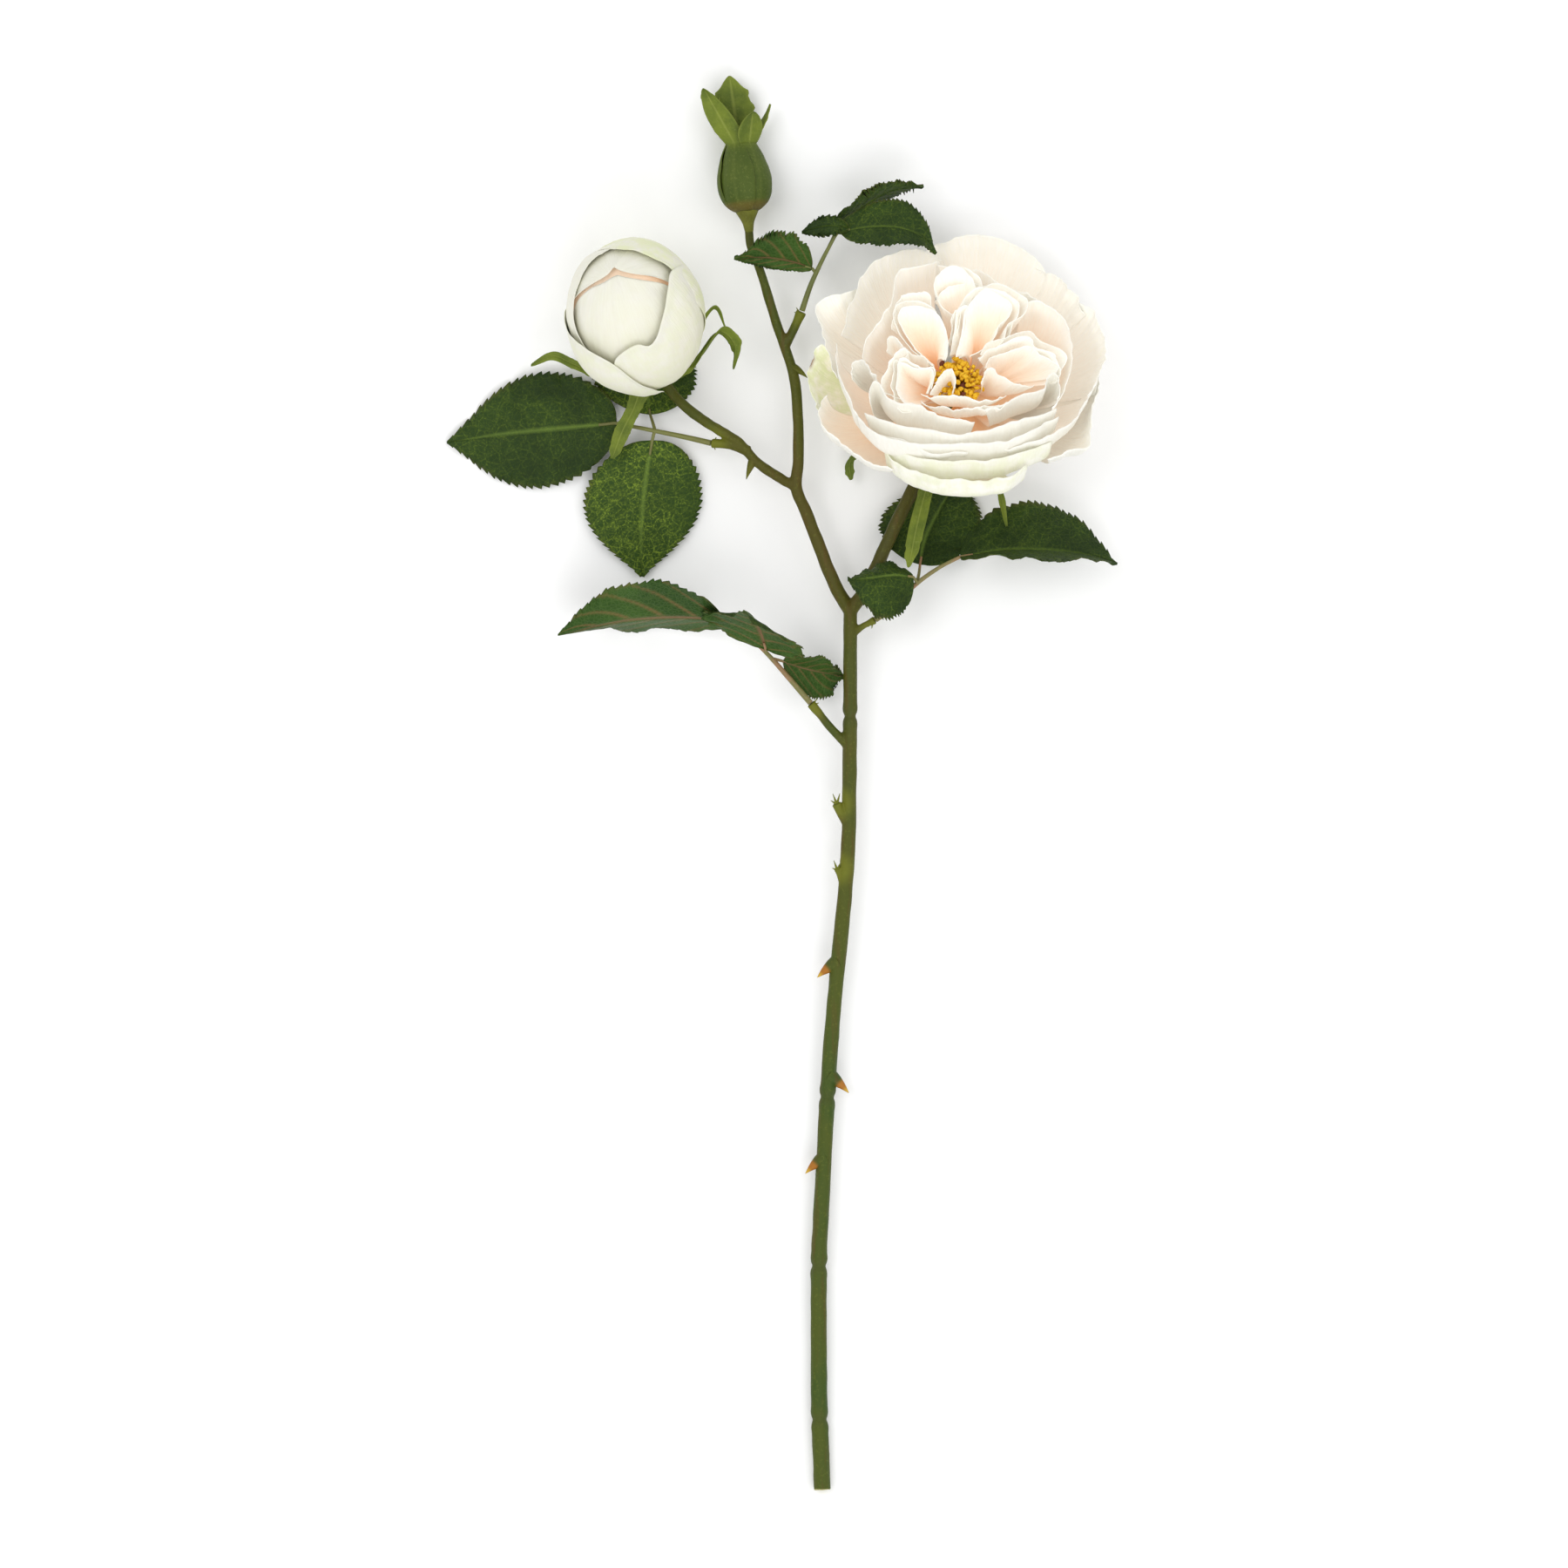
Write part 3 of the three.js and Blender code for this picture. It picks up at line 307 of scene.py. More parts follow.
class Finish:
    """A node material with one Principled surface."""

    def __init__(self, name, roughness):
        self.material = bpy.data.materials.new(name)
        self.material.use_nodes = True
        self.tree = self.material.node_tree
        self.surface = self.tree.nodes["Principled BSDF"]
        self.coords = self.add("ShaderNodeTexCoord").outputs["Object"]
        self.set("Roughness", roughness)

    def add(self, kind, inputs=None, **props):
        made = self.tree.nodes.new(kind)
        for key, value in props.items():
            setattr(made, key, value)
        for key, value in (inputs or {}).items():
            self.put(made.inputs[key], value)
        return made

    def put(self, socket, value):
        if isinstance(value, bpy.types.NodeSocket):
            self.tree.links.new(value, socket)
        else:
            socket.default_value = value

    def set(self, key, value):
        self.put(self.surface.inputs[key], value)

    def value(self, name):
        return self.add("ShaderNodeAttribute", attribute_name=name).outputs["Fac"]

    def noise(self, scale, detail=3.0, roughness=0.55, vector=None, stretch=None):
        vector = vector or self.coords
        if stretch:
            vector = self.add("ShaderNodeMapping", {"Vector": vector, "Scale": stretch}).outputs[0]
        inputs = {"Vector": vector, "Scale": scale, "Detail": detail, "Roughness": roughness}
        return self.add("ShaderNodeTexNoise", inputs).outputs["Fac"]

    def cells(self, scale):
        inputs = {"Vector": self.coords, "Scale": scale}
        made = self.add("ShaderNodeTexVoronoi", inputs, feature="DISTANCE_TO_EDGE")
        return made.outputs["Distance"]

    def ramp(self, value, low, high, start=0.0, end=1.0):
        inputs = {"Value": value, "From Min": low, "From Max": high, "To Min": start, "To Max": end}
        return self.add("ShaderNodeMapRange", inputs, interpolation_type="SMOOTHSTEP").outputs[0]

    def math(self, operation, a, b):
        made = self.add("ShaderNodeMath", operation=operation)
        self.put(made.inputs[0], a)
        self.put(made.inputs[1], b)
        return made.outputs[0]

    def times(self, a, b):
        return self.math("MULTIPLY", a, b)

    def plus(self, a, b):
        return self.math("ADD", a, b)

    def mix(self, factor, a, b):
        made = self.add("ShaderNodeMix", data_type="RGBA")
        self.put(made.inputs[0], factor)
        self.put(made.inputs[6], a)
        self.put(made.inputs[7], b)
        return made.outputs[2]

    def axis(self, which):
        return self.add("ShaderNodeSeparateXYZ", {"Vector": self.coords}).outputs[which]

    def bump(self, height, distance, strength):
        inputs = {"Height": height, "Distance": distance * MM, "Strength": strength}
        self.set("Normal", self.add("ShaderNodeBump", inputs).outputs[0])


def strands(f, fine, coarse):
    """Noise drawn out from the root to the rim of a petal."""
    spot = {"X": f.value("across"), "Y": f.times(f.value("along"), 0.12), "Z": f.value("seed")}
    spot = f.add("ShaderNodeCombineXYZ", spot).outputs[0]
    return f.noise(fine, 2.0, 0.5, spot), f.noise(coarse, 3.0, 0.6, spot)


def petal_finish(name, rim, body, warm, deep_peach_and_shade, back, glow):
    f = Finish(name, roughness=0.62)
    along = f.value("along")
    fine, coarse = strands(f, 70, 16)
    mottle = f.noise(160, 3.0)
    depth = f.plus(along, f.times(f.math("SUBTRACT", coarse, 0.5), 0.25))
    colour = f.mix(f.ramp(depth, 0.55, 1.0), body, rim)
    # The peach towards each petal's root is partly the petals' own tint and partly painted warm shade for
    # the gaps low in the flower.
    warmth = f.times(f.value("warm"), f.ramp(depth, 1.04, 0.4))
    colour = f.mix(warmth, colour, warm)
    depth_share = f.times(f.ramp(depth, 0.5, 0.1), f.plus(f.value("warm"), 0.15))
    colour = f.mix(depth_share, colour, deep_peach_and_shade)
    # The outside of each petal is painted a little greyer, as painted shade, and its painted glow is weaker
    # there.
    outside = f.value("outside")
    colour = f.mix(f.times(outside, 0.7), colour, back)
    colour = f.mix(f.times(f.value("green"), f.ramp(mottle, 0.3, 0.65)), colour, srgb(220, 226, 176))
    colour = f.mix(f.times(f.value("brown"), 0.85), colour, srgb(120, 74, 40))
    colour = f.mix(f.times(f.ramp(fine, 0.62, 0.4), 0.10), colour, srgb(218, 206, 186))
    f.set("Base Color", colour)
    f.set("Emission Color", colour)
    f.set("Emission Strength", f.ramp(outside, 0.0, 1.0, glow, glow * 0.4))
    f.set("Specular IOR Level", 0.2)
    f.set("Sheen Weight", 0.12)
    height = f.plus(fine, f.times(coarse, 0.9))
    f.bump(height, 0.22, 0.7)
    return f.material


# glow stands in for the light that comes through the thin cloth from behind.
PETAL = petal_finish(
    "petal_cream", srgb(246, 245, 238), srgb(248, 244, 235), srgb(255, 227, 201), srgb(246, 182, 104),
    srgb(236, 235, 226), 0.13,
)
BUD_PETAL = petal_finish(
    "petal_bud_white", srgb(236, 235, 224), srgb(232, 231, 219), srgb(236, 230, 186), srgb(212, 206, 116),
    srgb(226, 225, 214), 0.0,
)


def leaf_finish():
    f = Finish("leaf_green", roughness=0.6)
    vein = f.value("vein")
    midrib = f.value("midrib")
    net = f.ramp(f.cells(620), 0.0, 0.16, 1.0, 0.0)
    web = f.ramp(f.cells(260), 0.0, 0.10, 1.0, 0.0)
    patch = f.noise(45, 3.0)
    speck = f.noise(1300, 2.0, 0.7)
    speckle = f.ramp(speck, 0.46, 0.60, 0.25, 1.0)
    top = f.mix(f.ramp(patch, 0.35, 0.7), srgb(24, 40, 13), srgb(40, 60, 20))
    top = f.mix(f.times(f.value("bright"), 0.5), top, srgb(56, 82, 26))
    web = f.times(web, 0.7)
    lines = f.math("MAXIMUM", vein, f.math("MAXIMUM", web, f.times(net, 0.4)))
    light = f.times(f.times(lines, speckle), f.ramp(patch, 0.34, 0.62, 0.3, 1.0))
    top = f.mix(f.times(light, f.value("bright")), top, srgb(138, 160, 52))
    top = f.mix(f.times(midrib, 0.7), top, srgb(112, 136, 56))
    under = f.mix(f.ramp(patch, 0.3, 0.7), srgb(38, 66, 18), srgb(54, 84, 26))
    under = f.mix(f.times(vein, 0.8), under, srgb(124, 92, 58))
    under = f.mix(f.times(net, 0.2), under, srgb(98, 122, 62))
    under = f.mix(midrib, under, srgb(132, 96, 70))
    edge = f.times(f.value("edge"), f.ramp(patch, 0.4, 0.65, 0.0, 0.35))
    colour = f.mix(f.value("under"), top, under)
    colour = f.mix(edge, colour, srgb(110, 100, 56))
    f.set("Base Color", colour)
    f.set("Roughness", f.ramp(speck, 0.3, 0.7, 0.45, 0.62))
    f.set("Specular IOR Level", 0.14)
    f.bump(f.plus(f.times(f.plus(net, web), -0.6), speck), 0.25, 0.6)
    return f.material


LEAF = leaf_finish()


def stem_finish():
    f = Finish("stem_bark", roughness=0.5)
    y = f.axis("Y")
    patch = f.noise(38, 4.0, 0.6, stretch=(1.0, 0.35, 1.0))
    streak = f.noise(260, 3.0, 0.6, stretch=(1.0, 0.1, 1.0))
    speck = f.noise(900, 2.0, 0.6)
    low = f.mix(f.ramp(patch, 0.38, 0.64), srgb(52, 74, 20), srgb(72, 82, 24))
    high = f.mix(f.ramp(patch, 0.35, 0.6), srgb(64, 73, 17), srgb(80, 79, 22))
    colour = f.mix(f.ramp(y, -0.12, 0.06), low, high)
    fork = f.times(f.ramp(y, 0.06, 0.09), f.ramp(y, 0.135, 0.115))
    colour = f.mix(f.times(fork, 0.45), colour, srgb(72, 60, 24))
    colour = f.mix(f.times(f.ramp(streak, 0.5, 0.68), 0.45), colour, srgb(88, 66, 28))
    colour = f.mix(f.times(f.ramp(speck, 0.56, 0.68), 0.2), colour, srgb(114, 122, 44))
    colour = f.mix(f.times(f.value("groove"), 0.45), colour, srgb(70, 74, 32))
    colour = f.mix(f.times(f.value("stub"), 0.85), colour, srgb(112, 116, 30))
    prickle = f.value("prickle")
    colour = f.mix(f.ramp(prickle, 0.02, 0.3), colour, srgb(160, 104, 36))
    colour = f.mix(f.ramp(prickle, 0.6, 1.0), colour, srgb(196, 160, 60))
    colour = f.mix(f.value("cut"), colour, srgb(168, 164, 108))
    f.set("Base Color", colour)
    f.set("Roughness", f.ramp(patch, 0.3, 0.7, 0.42, 0.62))
    f.set("Specular IOR Level", 0.2)
    f.bump(f.plus(streak, f.times(speck, 0.5)), 0.3, 0.7)
    return f.material


STEM = stem_finish()


def stalk_finish():
    f = Finish("stalk_brown", roughness=0.55)
    patch = f.noise(120, 3.0)
    speck = f.noise(800, 2.0)
    colour = f.mix(f.ramp(patch, 0.38, 0.62), srgb(150, 108, 78), srgb(112, 108, 58))
    colour = f.mix(f.times(f.ramp(speck, 0.5, 0.7), 0.4), colour, srgb(166, 128, 96))
    leafy = f.mix(f.ramp(patch, 0.38, 0.62), srgb(84, 98, 40), srgb(112, 116, 56))
    colour = f.mix(f.value("green"), colour, leafy)
    f.set("Base Color", colour)
    f.bump(speck, 0.2, 0.6)
    return f.material


STALK = stalk_finish()


def sepal_finish():
    f = Finish("sepal_green", roughness=0.62)
    patch = f.noise(90, 4.0)
    speck = f.noise(1100, 2.0, 0.7)
    colour = f.mix(f.ramp(patch, 0.35, 0.65), srgb(82, 98, 28), srgb(110, 124, 38))
    colour = f.mix(f.times(f.ramp(f.value("vein"), 0.3, 0.9), 0.35), colour, srgb(150, 158, 76))
    colour = f.mix(f.times(f.value("pale"), 0.4), colour, srgb(142, 152, 62))
    colour = f.mix(f.times(f.value("dark"), 0.8), colour, srgb(60, 76, 22))
    colour = f.mix(f.value("red"), colour, srgb(120, 84, 40))
    colour = f.mix(f.times(f.ramp(speck, 0.54, 0.7), 0.16), colour, srgb(150, 158, 84))
    f.set("Base Color", colour)
    f.set("Specular IOR Level", 0.25)
    f.bump(f.plus(speck, patch), 0.22, 0.7)
    return f.material


SEPAL = sepal_finish()


def stamen_finish():
    f = Finish("stamen_yellow", roughness=0.7)
    grain = f.noise(1600, 2.0)
    colour = f.mix(f.ramp(grain, 0.35, 0.65), srgb(232, 172, 14), srgb(246, 206, 44))
    colour = f.mix(f.value("thread"), colour, srgb(240, 206, 92))
    colour = f.mix(f.value("dark"), colour, srgb(104, 44, 26))
    f.set("Base Color", colour)
    f.bump(grain, 0.25, 0.8)
    return f.material


STAMEN = stamen_finish()

# ---- stem ----


def on_axis(place, h):
    return tuple(place(0, 0, h).tolist())


CANE = [
    (15.0, -275.4, 3.4), (13.9, -248.2, 4.0), (13.6, -217.6, 5.0), (13.6, -188.0, 6.0),
    (15.3, -153.0, 7.2), (16.9, -122.4, 8.2), (19.6, -85.0, 9.4), (23.0, -51.0, 10.6),
    (25.2, -20.4, 11.7), (25.5, 0.0, 12.5), (25.8, 26.5, 13.5), (25.8, 47.6, 14.4),
    (25.8, 67.3, 15.3),
]
FORK = CANE[-1]
UPPER_FORK = (4.8, 115.6, 17.2)
LONG_SHOOT = [
    FORK, (20.4, 76.5, 16.0), (14.3, 91.1, 16.6), (8.8, 105.4, 17.0), UPPER_FORK,
    (5.6, 125.8, 17.4), (5.4, 142.8, 17.4), (3.7, 159.8, 17.2), (-0.2, 171.5, 16.9),
    (-5.1, 186.3, 16.5), (-9.2, 199.9, 15.9),
    on_axis(closed_bud, -CLOSED_BUD_HIP_LENGTH - 5),
    on_axis(closed_bud, -CLOSED_BUD_HIP_LENGTH + 1),
]
HALF_OPEN_SHOOT = [
    UPPER_FORK, (-1.7, 119.3, 16.8), (-10.2, 125.1, 16.2), (-18.0, 133.3, 15.4),
    (-28.9, 140.1, 13.8), (-37.4, 146.2, 12.0), (-43.6, 152.6, 10.4),
    on_axis(half_open, -HALF_OPEN_HALF_LENGTH - HALF_OPEN_HIP_LENGTH + 1),
]
BLOOM_SHOOT = [
    FORK, (30.6, 74.1, 15.3), (35.4, 83.3, 15.0), (40.8, 95.2, 14.4), (46.9, 108.1, 13.0),
    (53.7, 121.4, 10.8), (61.2, 133.3, 8.4),
    on_axis(bloom, -BLOOM_DEPTH - BLOOM_HIP_LENGTH + 1),
]
GROOVES = [27.5, 87.5, 153.5, 302.5]
CUT_FACE_Y = (-275.2, -274.9)
SKIN_VOXEL = 0.42
SKIN_SMOOTHING = 4
# Short side shoots: points, radius at the stem, radius at the end.
STUBS = [
    ([(25.0, 15.0, 12.9), (18.9, 21.1, 14.5), (13.9, 27.2, 16.5), (10.5, 31.3, 18.0)], 1.9, 1.5),
    ([(26.5, 58.6, 15.0), (31.5, 61.9, 16.0), (35.4, 63.9, 17.0)], 1.5, 1.2),
    ([(-13.5, 129.6, 15.9), (-19.6, 131.9, 14.9), (-28.2, 132.9, 13.4)], 2.2, 1.6),
    ([(0.4, 170.5, 16.9), (4.1, 177.8, 18.0), (6.8, 183.9, 19.0)], 1.9, 1.7),
    ([(25.0, -16.5, 12.0), (22.0, -11.0, 13.4), (20.4, -7.6, 14.2)], 1.9, 1.6),
    ([(23.4, -40.0, 11.0), (21.6, -35.5, 12.0), (20.6, -33.0, 12.4)], 1.7, 0.9),
]
PRICKLES = [
    ((21.0, -69.5, 10.0), (-0.9, -0.42, 0.1)),
    ((17.6, -113.8, 8.5), (0.86, -0.5, 0.1)),
    ((16.2, -145.6, 7.4), (-0.88, -0.46, 0.1)),
    ((3.0, 162.4, 17.2), (0.95, -0.3, 0.1)),
    ((-11.8, 126.6, 16.0), (-0.45, -0.88, 0.1)),
]
# The prickles of the upper shoots are green.
GREEN_PRICKLES = 2
# Small spikes where a leaf was pulled off or joins: root, and the way and length of each.
SPIKES = [
    ((20.6, -8.0, 14.0), [(-1.6, 4.2, 0.6), (1.2, 4.4, 0.4), (-2.4, 1.6, 0.2)]),
    ((20.8, -33.6, 12.3), [(-1.4, 3.8, 0.4), (1.0, 2.6, 0.3), (-2.0, 0.8, 0.2)]),
    ((11.0, 30.6, 17.8), [(1.8, 2.6, 0.4), (2.6, 1.0, 0.3)]),
    ((34.6, 63.4, 16.8), [(-0.4, -2.8, 0.3), (-1.8, -2.2, 0.2)]),
    ((6.4, 183.0, 18.9), [(-1.6, 2.6, 0.6), (-2.4, 0.8, 0.4)]),
    ((-27.4, 132.8, 13.5), [(0.6, -2.6, 0.5), (1.0, 2.4, 0.5)]),
]


def stem():
    cane = curve(CANE, 400)
    length = np.linalg.norm(np.diff(cane, axis=0), axis=1).sum()

    def cane_radius(t):
        r = lerp(CANE_RADIUS_CUT, CANE_RADIUS_FORK, t)
        for at in GROOVES:
            away = abs(t * length - at) / GROOVE_HALF_LENGTH
            r += GROOVE_DEPTH * (0.35 * math.exp(-((away - 2.0) ** 2) * 1.2) - math.exp(-(away**2) * 3.0))
        return r

    bodies = [tube(CANE, cane_radius, 420, 20)]
    bodies.append(tube(LONG_SHOOT, lambda t: lerp(CANE_RADIUS_FORK, SHOOT_RADIUS * 0.8, t), 200, 18))
    bodies.append(tube(HALF_OPEN_SHOOT, SHOOT_RADIUS, 100, 18))
    bodies.append(tube(BLOOM_SHOOT, BLOOM_SHOOT_RADIUS, 110, 18))
    for points, start, end in STUBS:
        flare = lambda t, a=start, b=end: lerp(a, b, t) + 0.35 * ease(t, 0.7, 1.0)
        bodies.append(tube(points, flare, 24, 14))
    skin = remeshed(combined(bodies), SKIN_VOXEL, SKIN_SMOOTHING)
    points = skin.points
    rough = np.array([noise.noise(p * (0.35, 0.12, 0.35)) for p in points])
    skin.points = points + skin.normals * (0.22 * rough)[:, None]
    groove = np.zeros(len(points))
    steps = np.linspace(0, length, len(cane))
    for at in GROOVES:
        centre = np.array([np.interp(at, steps, cane[:, k]) for k in range(3)])
        away = np.linalg.norm(points - centre, axis=1)
        groove = np.maximum(groove, 0.75 * (1 - ease(away, 3.2, 5.2)))
    stub = np.zeros(len(points))
    for path, start, end in STUBS:
        tip = np.asarray(path[-1])
        stub = np.maximum(stub, 0.8 * (1 - ease(np.linalg.norm(points - tip, axis=1), 3.0, 9.0)))
    cut = 1 - ease(points[:, 1], *CUT_FACE_Y)
    skin.values = {"groove": groove, "stub": stub, "cut": cut, "prickle": np.zeros(len(points))}
    parts = [skin]
    for number, (root, way) in enumerate(PRICKLES):
        green = number >= len(PRICKLES) - GREEN_PRICKLES
        share = 0.6 if green else 1.0
        out = unit(way)
        drop = np.array([0.0, -2.2, 0.0])
        reach = CANE_RADIUS_FORK + PRICKLE_LENGTH * share
        path = [np.asarray(root) + out * reach * t + drop * t * t for t in (0, 0.35, 0.7, 1)]
        spike = tube(path, lambda t, a=share: lerp(PRICKLE_RADIUS * 2.3 * a, 0.12, t**1.1), 24, 12)
        along = spike.values["along"]
        brown = 0 if green else 1
        spike.values = {"prickle": brown * ease(along, 0.3, 1.0), "stub": (0.7 * green) * along}
        parts.append(spike)
    for root, tips in SPIKES:
        for tip in tips:
            start = np.asarray(root, float)
            path = [start, start + 0.55 * np.asarray(tip), start + np.asarray(tip) * (1.0, 1.0, 0.7)]
            spike = tube(path, lambda t: lerp(0.75, 0.12, t**0.8), 14, 8)
            spike.values = {"stub": 1.0 + 0 * spike.values["along"], "prickle": 0 * spike.values["along"]}
            parts.append(spike)
    piece("stem_skin", parts, STEM, "stem", "stem")


stem()

# ---- compound leaves ----
LEAVES = {
    "leaf_bud": {
        "stalk": [(-28.5, 132.9, 13.3), (-37.4, 135.0, 11.4), (-50.3, 137.7, 9.4), (-64.6, 140.5, 7.8)],
        "side_stalks": [
            [(-50.3, 137.7, 9.4), (-50.9, 136.0, 9.0), (-51.2, 134.6, 8.8)],
            [(-50.3, 137.7, 9.4), (-51.2, 141.0, 7.2), (-51.9, 143.2, 5.6)],
        ],
        "leaflets": {
            "end": dict(
                midrib=[
                    (-65.4, 140.7, 7.6), (-88.4, 138.7, 6.4), (-112.2, 136.3, 4.8), (-131.6, 133.3, 2.6),
                ],
                width=44, left=(0.05, -0.99, -0.12), right=(0.05, 0.99, -0.1), bright=0.3,
            ),
            "low": dict(
                midrib=[(-51.4, 133.8, 8.6), (-54.4, 115.6, 7.4), (-55.8, 95.2, 5.2), (-55.4, 80.9, 2.6)],
                width=45, left=(0.99, 0.05, -0.14), right=(-0.99, 0.05, -0.12), bright=1.0,
            ),
            "high": dict(
                midrib=[(-52.2, 144.2, 4.8), (-53.4, 151.3, 2.8), (-56.1, 166.0, 1.1), (-58.5, 179.0, 0.5)],
                width=40, left=(-0.99, 0.05, 0), right=(0.99, 0.05, 0), bright=0.9,
            ),
        },
    },
    "leaf_low_left": {
        "stalk": [
            (10.3, 31.6, 18.1), (1.7, 41.5, 19.8), (-6.8, 51.0, 21.4), (-15.3, 58.8, 23.2),
            (-22.8, 63.0, 25.0),
        ],
        "side_stalks": [
            [(-6.8, 51.0, 21.4), (-7.0, 52.0, 22.2)],
            [(-4.6, 48.8, 21.0), (-2.6, 48.4, 20.0), (-1.0, 48.0, 19.0)],
        ],
        "leaflets": {
            "end": dict(
                midrib=[
                    (-23.7, 63.5, 25.3), (-40.8, 64.6, 27.2), (-61.2, 63.4, 26.4), (-74.8, 60.9, 23.4),
                    (-88.1, 57.8, 19.0),
                ],
                width=42, left=(0, -0.14, -0.99), right=(0, 0.72, 0.69), under=True, veins=5,
            ),
            "near": dict(
                midrib=[(-7.2, 53.0, 23.0), (-9.4, 59.5, 29.5), (-12.5, 64.6, 39.0), (-16.0, 67.0, 49.0)],
                width=42, left=(-0.95, 0.15, -0.25), right=(0.87, -0.5, -0.2), under=True, veins=5,
            ),
            "far": dict(
                midrib=[(-0.2, 47.8, 18.6), (7.0, 45.6, 15.0), (15.0, 43.8, 9.6), (23.4, 42.4, 4.2)],
                width=28, left=(0.1, -0.8, -0.1), right=(0.25, 0.4, 0.85), share=(0.8, 0.8),
                under=True, veins=5,
            ),
        },
    },
    "leaf_low_right": {
        "stalk": [
            (35.7, 64.1, 17.1), (41.5, 68.0, 18.7), (51.0, 77.5, 20.9), (60.5, 84.3, 23.0),
            (67.8, 88.0, 24.8),
        ],
        "side_stalks": [
            [(52.0, 78.3, 21.1), (51.4, 79.2, 22.0), (50.6, 80.2, 23.2)],
            [(51.5, 77.9, 21.0), (52.4, 81.0, 18.6), (52.9, 84.6, 15.6)],
        ],
        "leaflets": {
            "end": dict(
                midrib=[
                    (68.7, 88.4, 25.0), (85.0, 91.1, 26.6), (102.0, 91.1, 26.0), (117.3, 89.4, 23.0),
                    (129.9, 86.0, 19.0),
                ],
                width=42, left=(0, 0.86, -0.5), right=(0, -0.18, 0.98),
            ),
            "near": dict(
                midrib=[(50.2, 80.6, 24.0), (43.5, 81.6, 26.6), (34.5, 80.6, 29.6), (24.8, 79.2, 31.6)],
                width=34, left=(0.12, -0.93, 0.2), right=(0, 0.3, -0.5), share=(1, 0.55),
            ),
            "far": dict(
                midrib=[(53.0, 85.6, 14.8), (54.8, 95.2, 8.4), (60.5, 107.1, 4.4), (68.0, 119.5, 2.6)],
                width=37, left=(-0.95, 0.2, -0.02), right=(0.95, -0.2, -0.02),
            ),
        },
    },
    "leaf_top": {
        "stalk": [
            (7.0, 184.4, 19.1), (10.2, 193.8, 20.7), (12.9, 199.9, 21.9), (17.0, 208.1, 23.4),
            (20.9, 214.6, 24.6),
        ],
        "side_stalks": [
            [(12.5, 198.8, 21.7), (11.6, 200.0, 21.9)],
            [(17.0, 208.1, 23.4), (19.4, 213.4, 21.0), (20.7, 217.0, 18.4)],
        ],
        "leaflets": {
            "end": dict(
                midrib=[
                    (22.2, 215.2, 25.2), (34.0, 217.0, 28.4), (45.9, 216.4, 30.6), (54.4, 212.5, 31.4),
                    (59.5, 206.7, 31.4),
                ],
                width=32, left=(0.1, 0.62, -0.3), right=(-0.1, -0.55, 0.5), share=(0.72, 0.62),
            ),
            "left": dict(
                midrib=[(10.6, 201.0, 22.1), (2.5, 203.4, 23.8), (-8.4, 204.9, 24.6), (-19.5, 204.3, 23.0)],
                width=26, left=(0, -0.9, -0.12), right=(0.25, 0.7, 0.65), share=(0.3, 1),
                under=True, veins=5,
            ),
            "high": dict(
                midrib=[(20.9, 218.0, 17.8), (31.3, 225.6, 16.8), (41.5, 231.3, 17.2), (54.4, 233.0, 17.6)],
                width=24, left=(-0.1, 0.38, 0.9), right=(0.15, -0.25, -0.95), share=(0.7, 0.9),
            ),
        },
        "lobes": {
            "end": [dict(
                midrib=[(25.0, 216.6, 25.9), (18.5, 217.4, 26.2), (12.5, 216.6, 25.6), (6.9, 214.8, 24.6)],
                width=7, left=(0, -0.95, 0), right=(0, 0.95, 0), teeth=9, veins=4,
            )],
        },
    },
}


TOOTH_DEPTH = 1.7


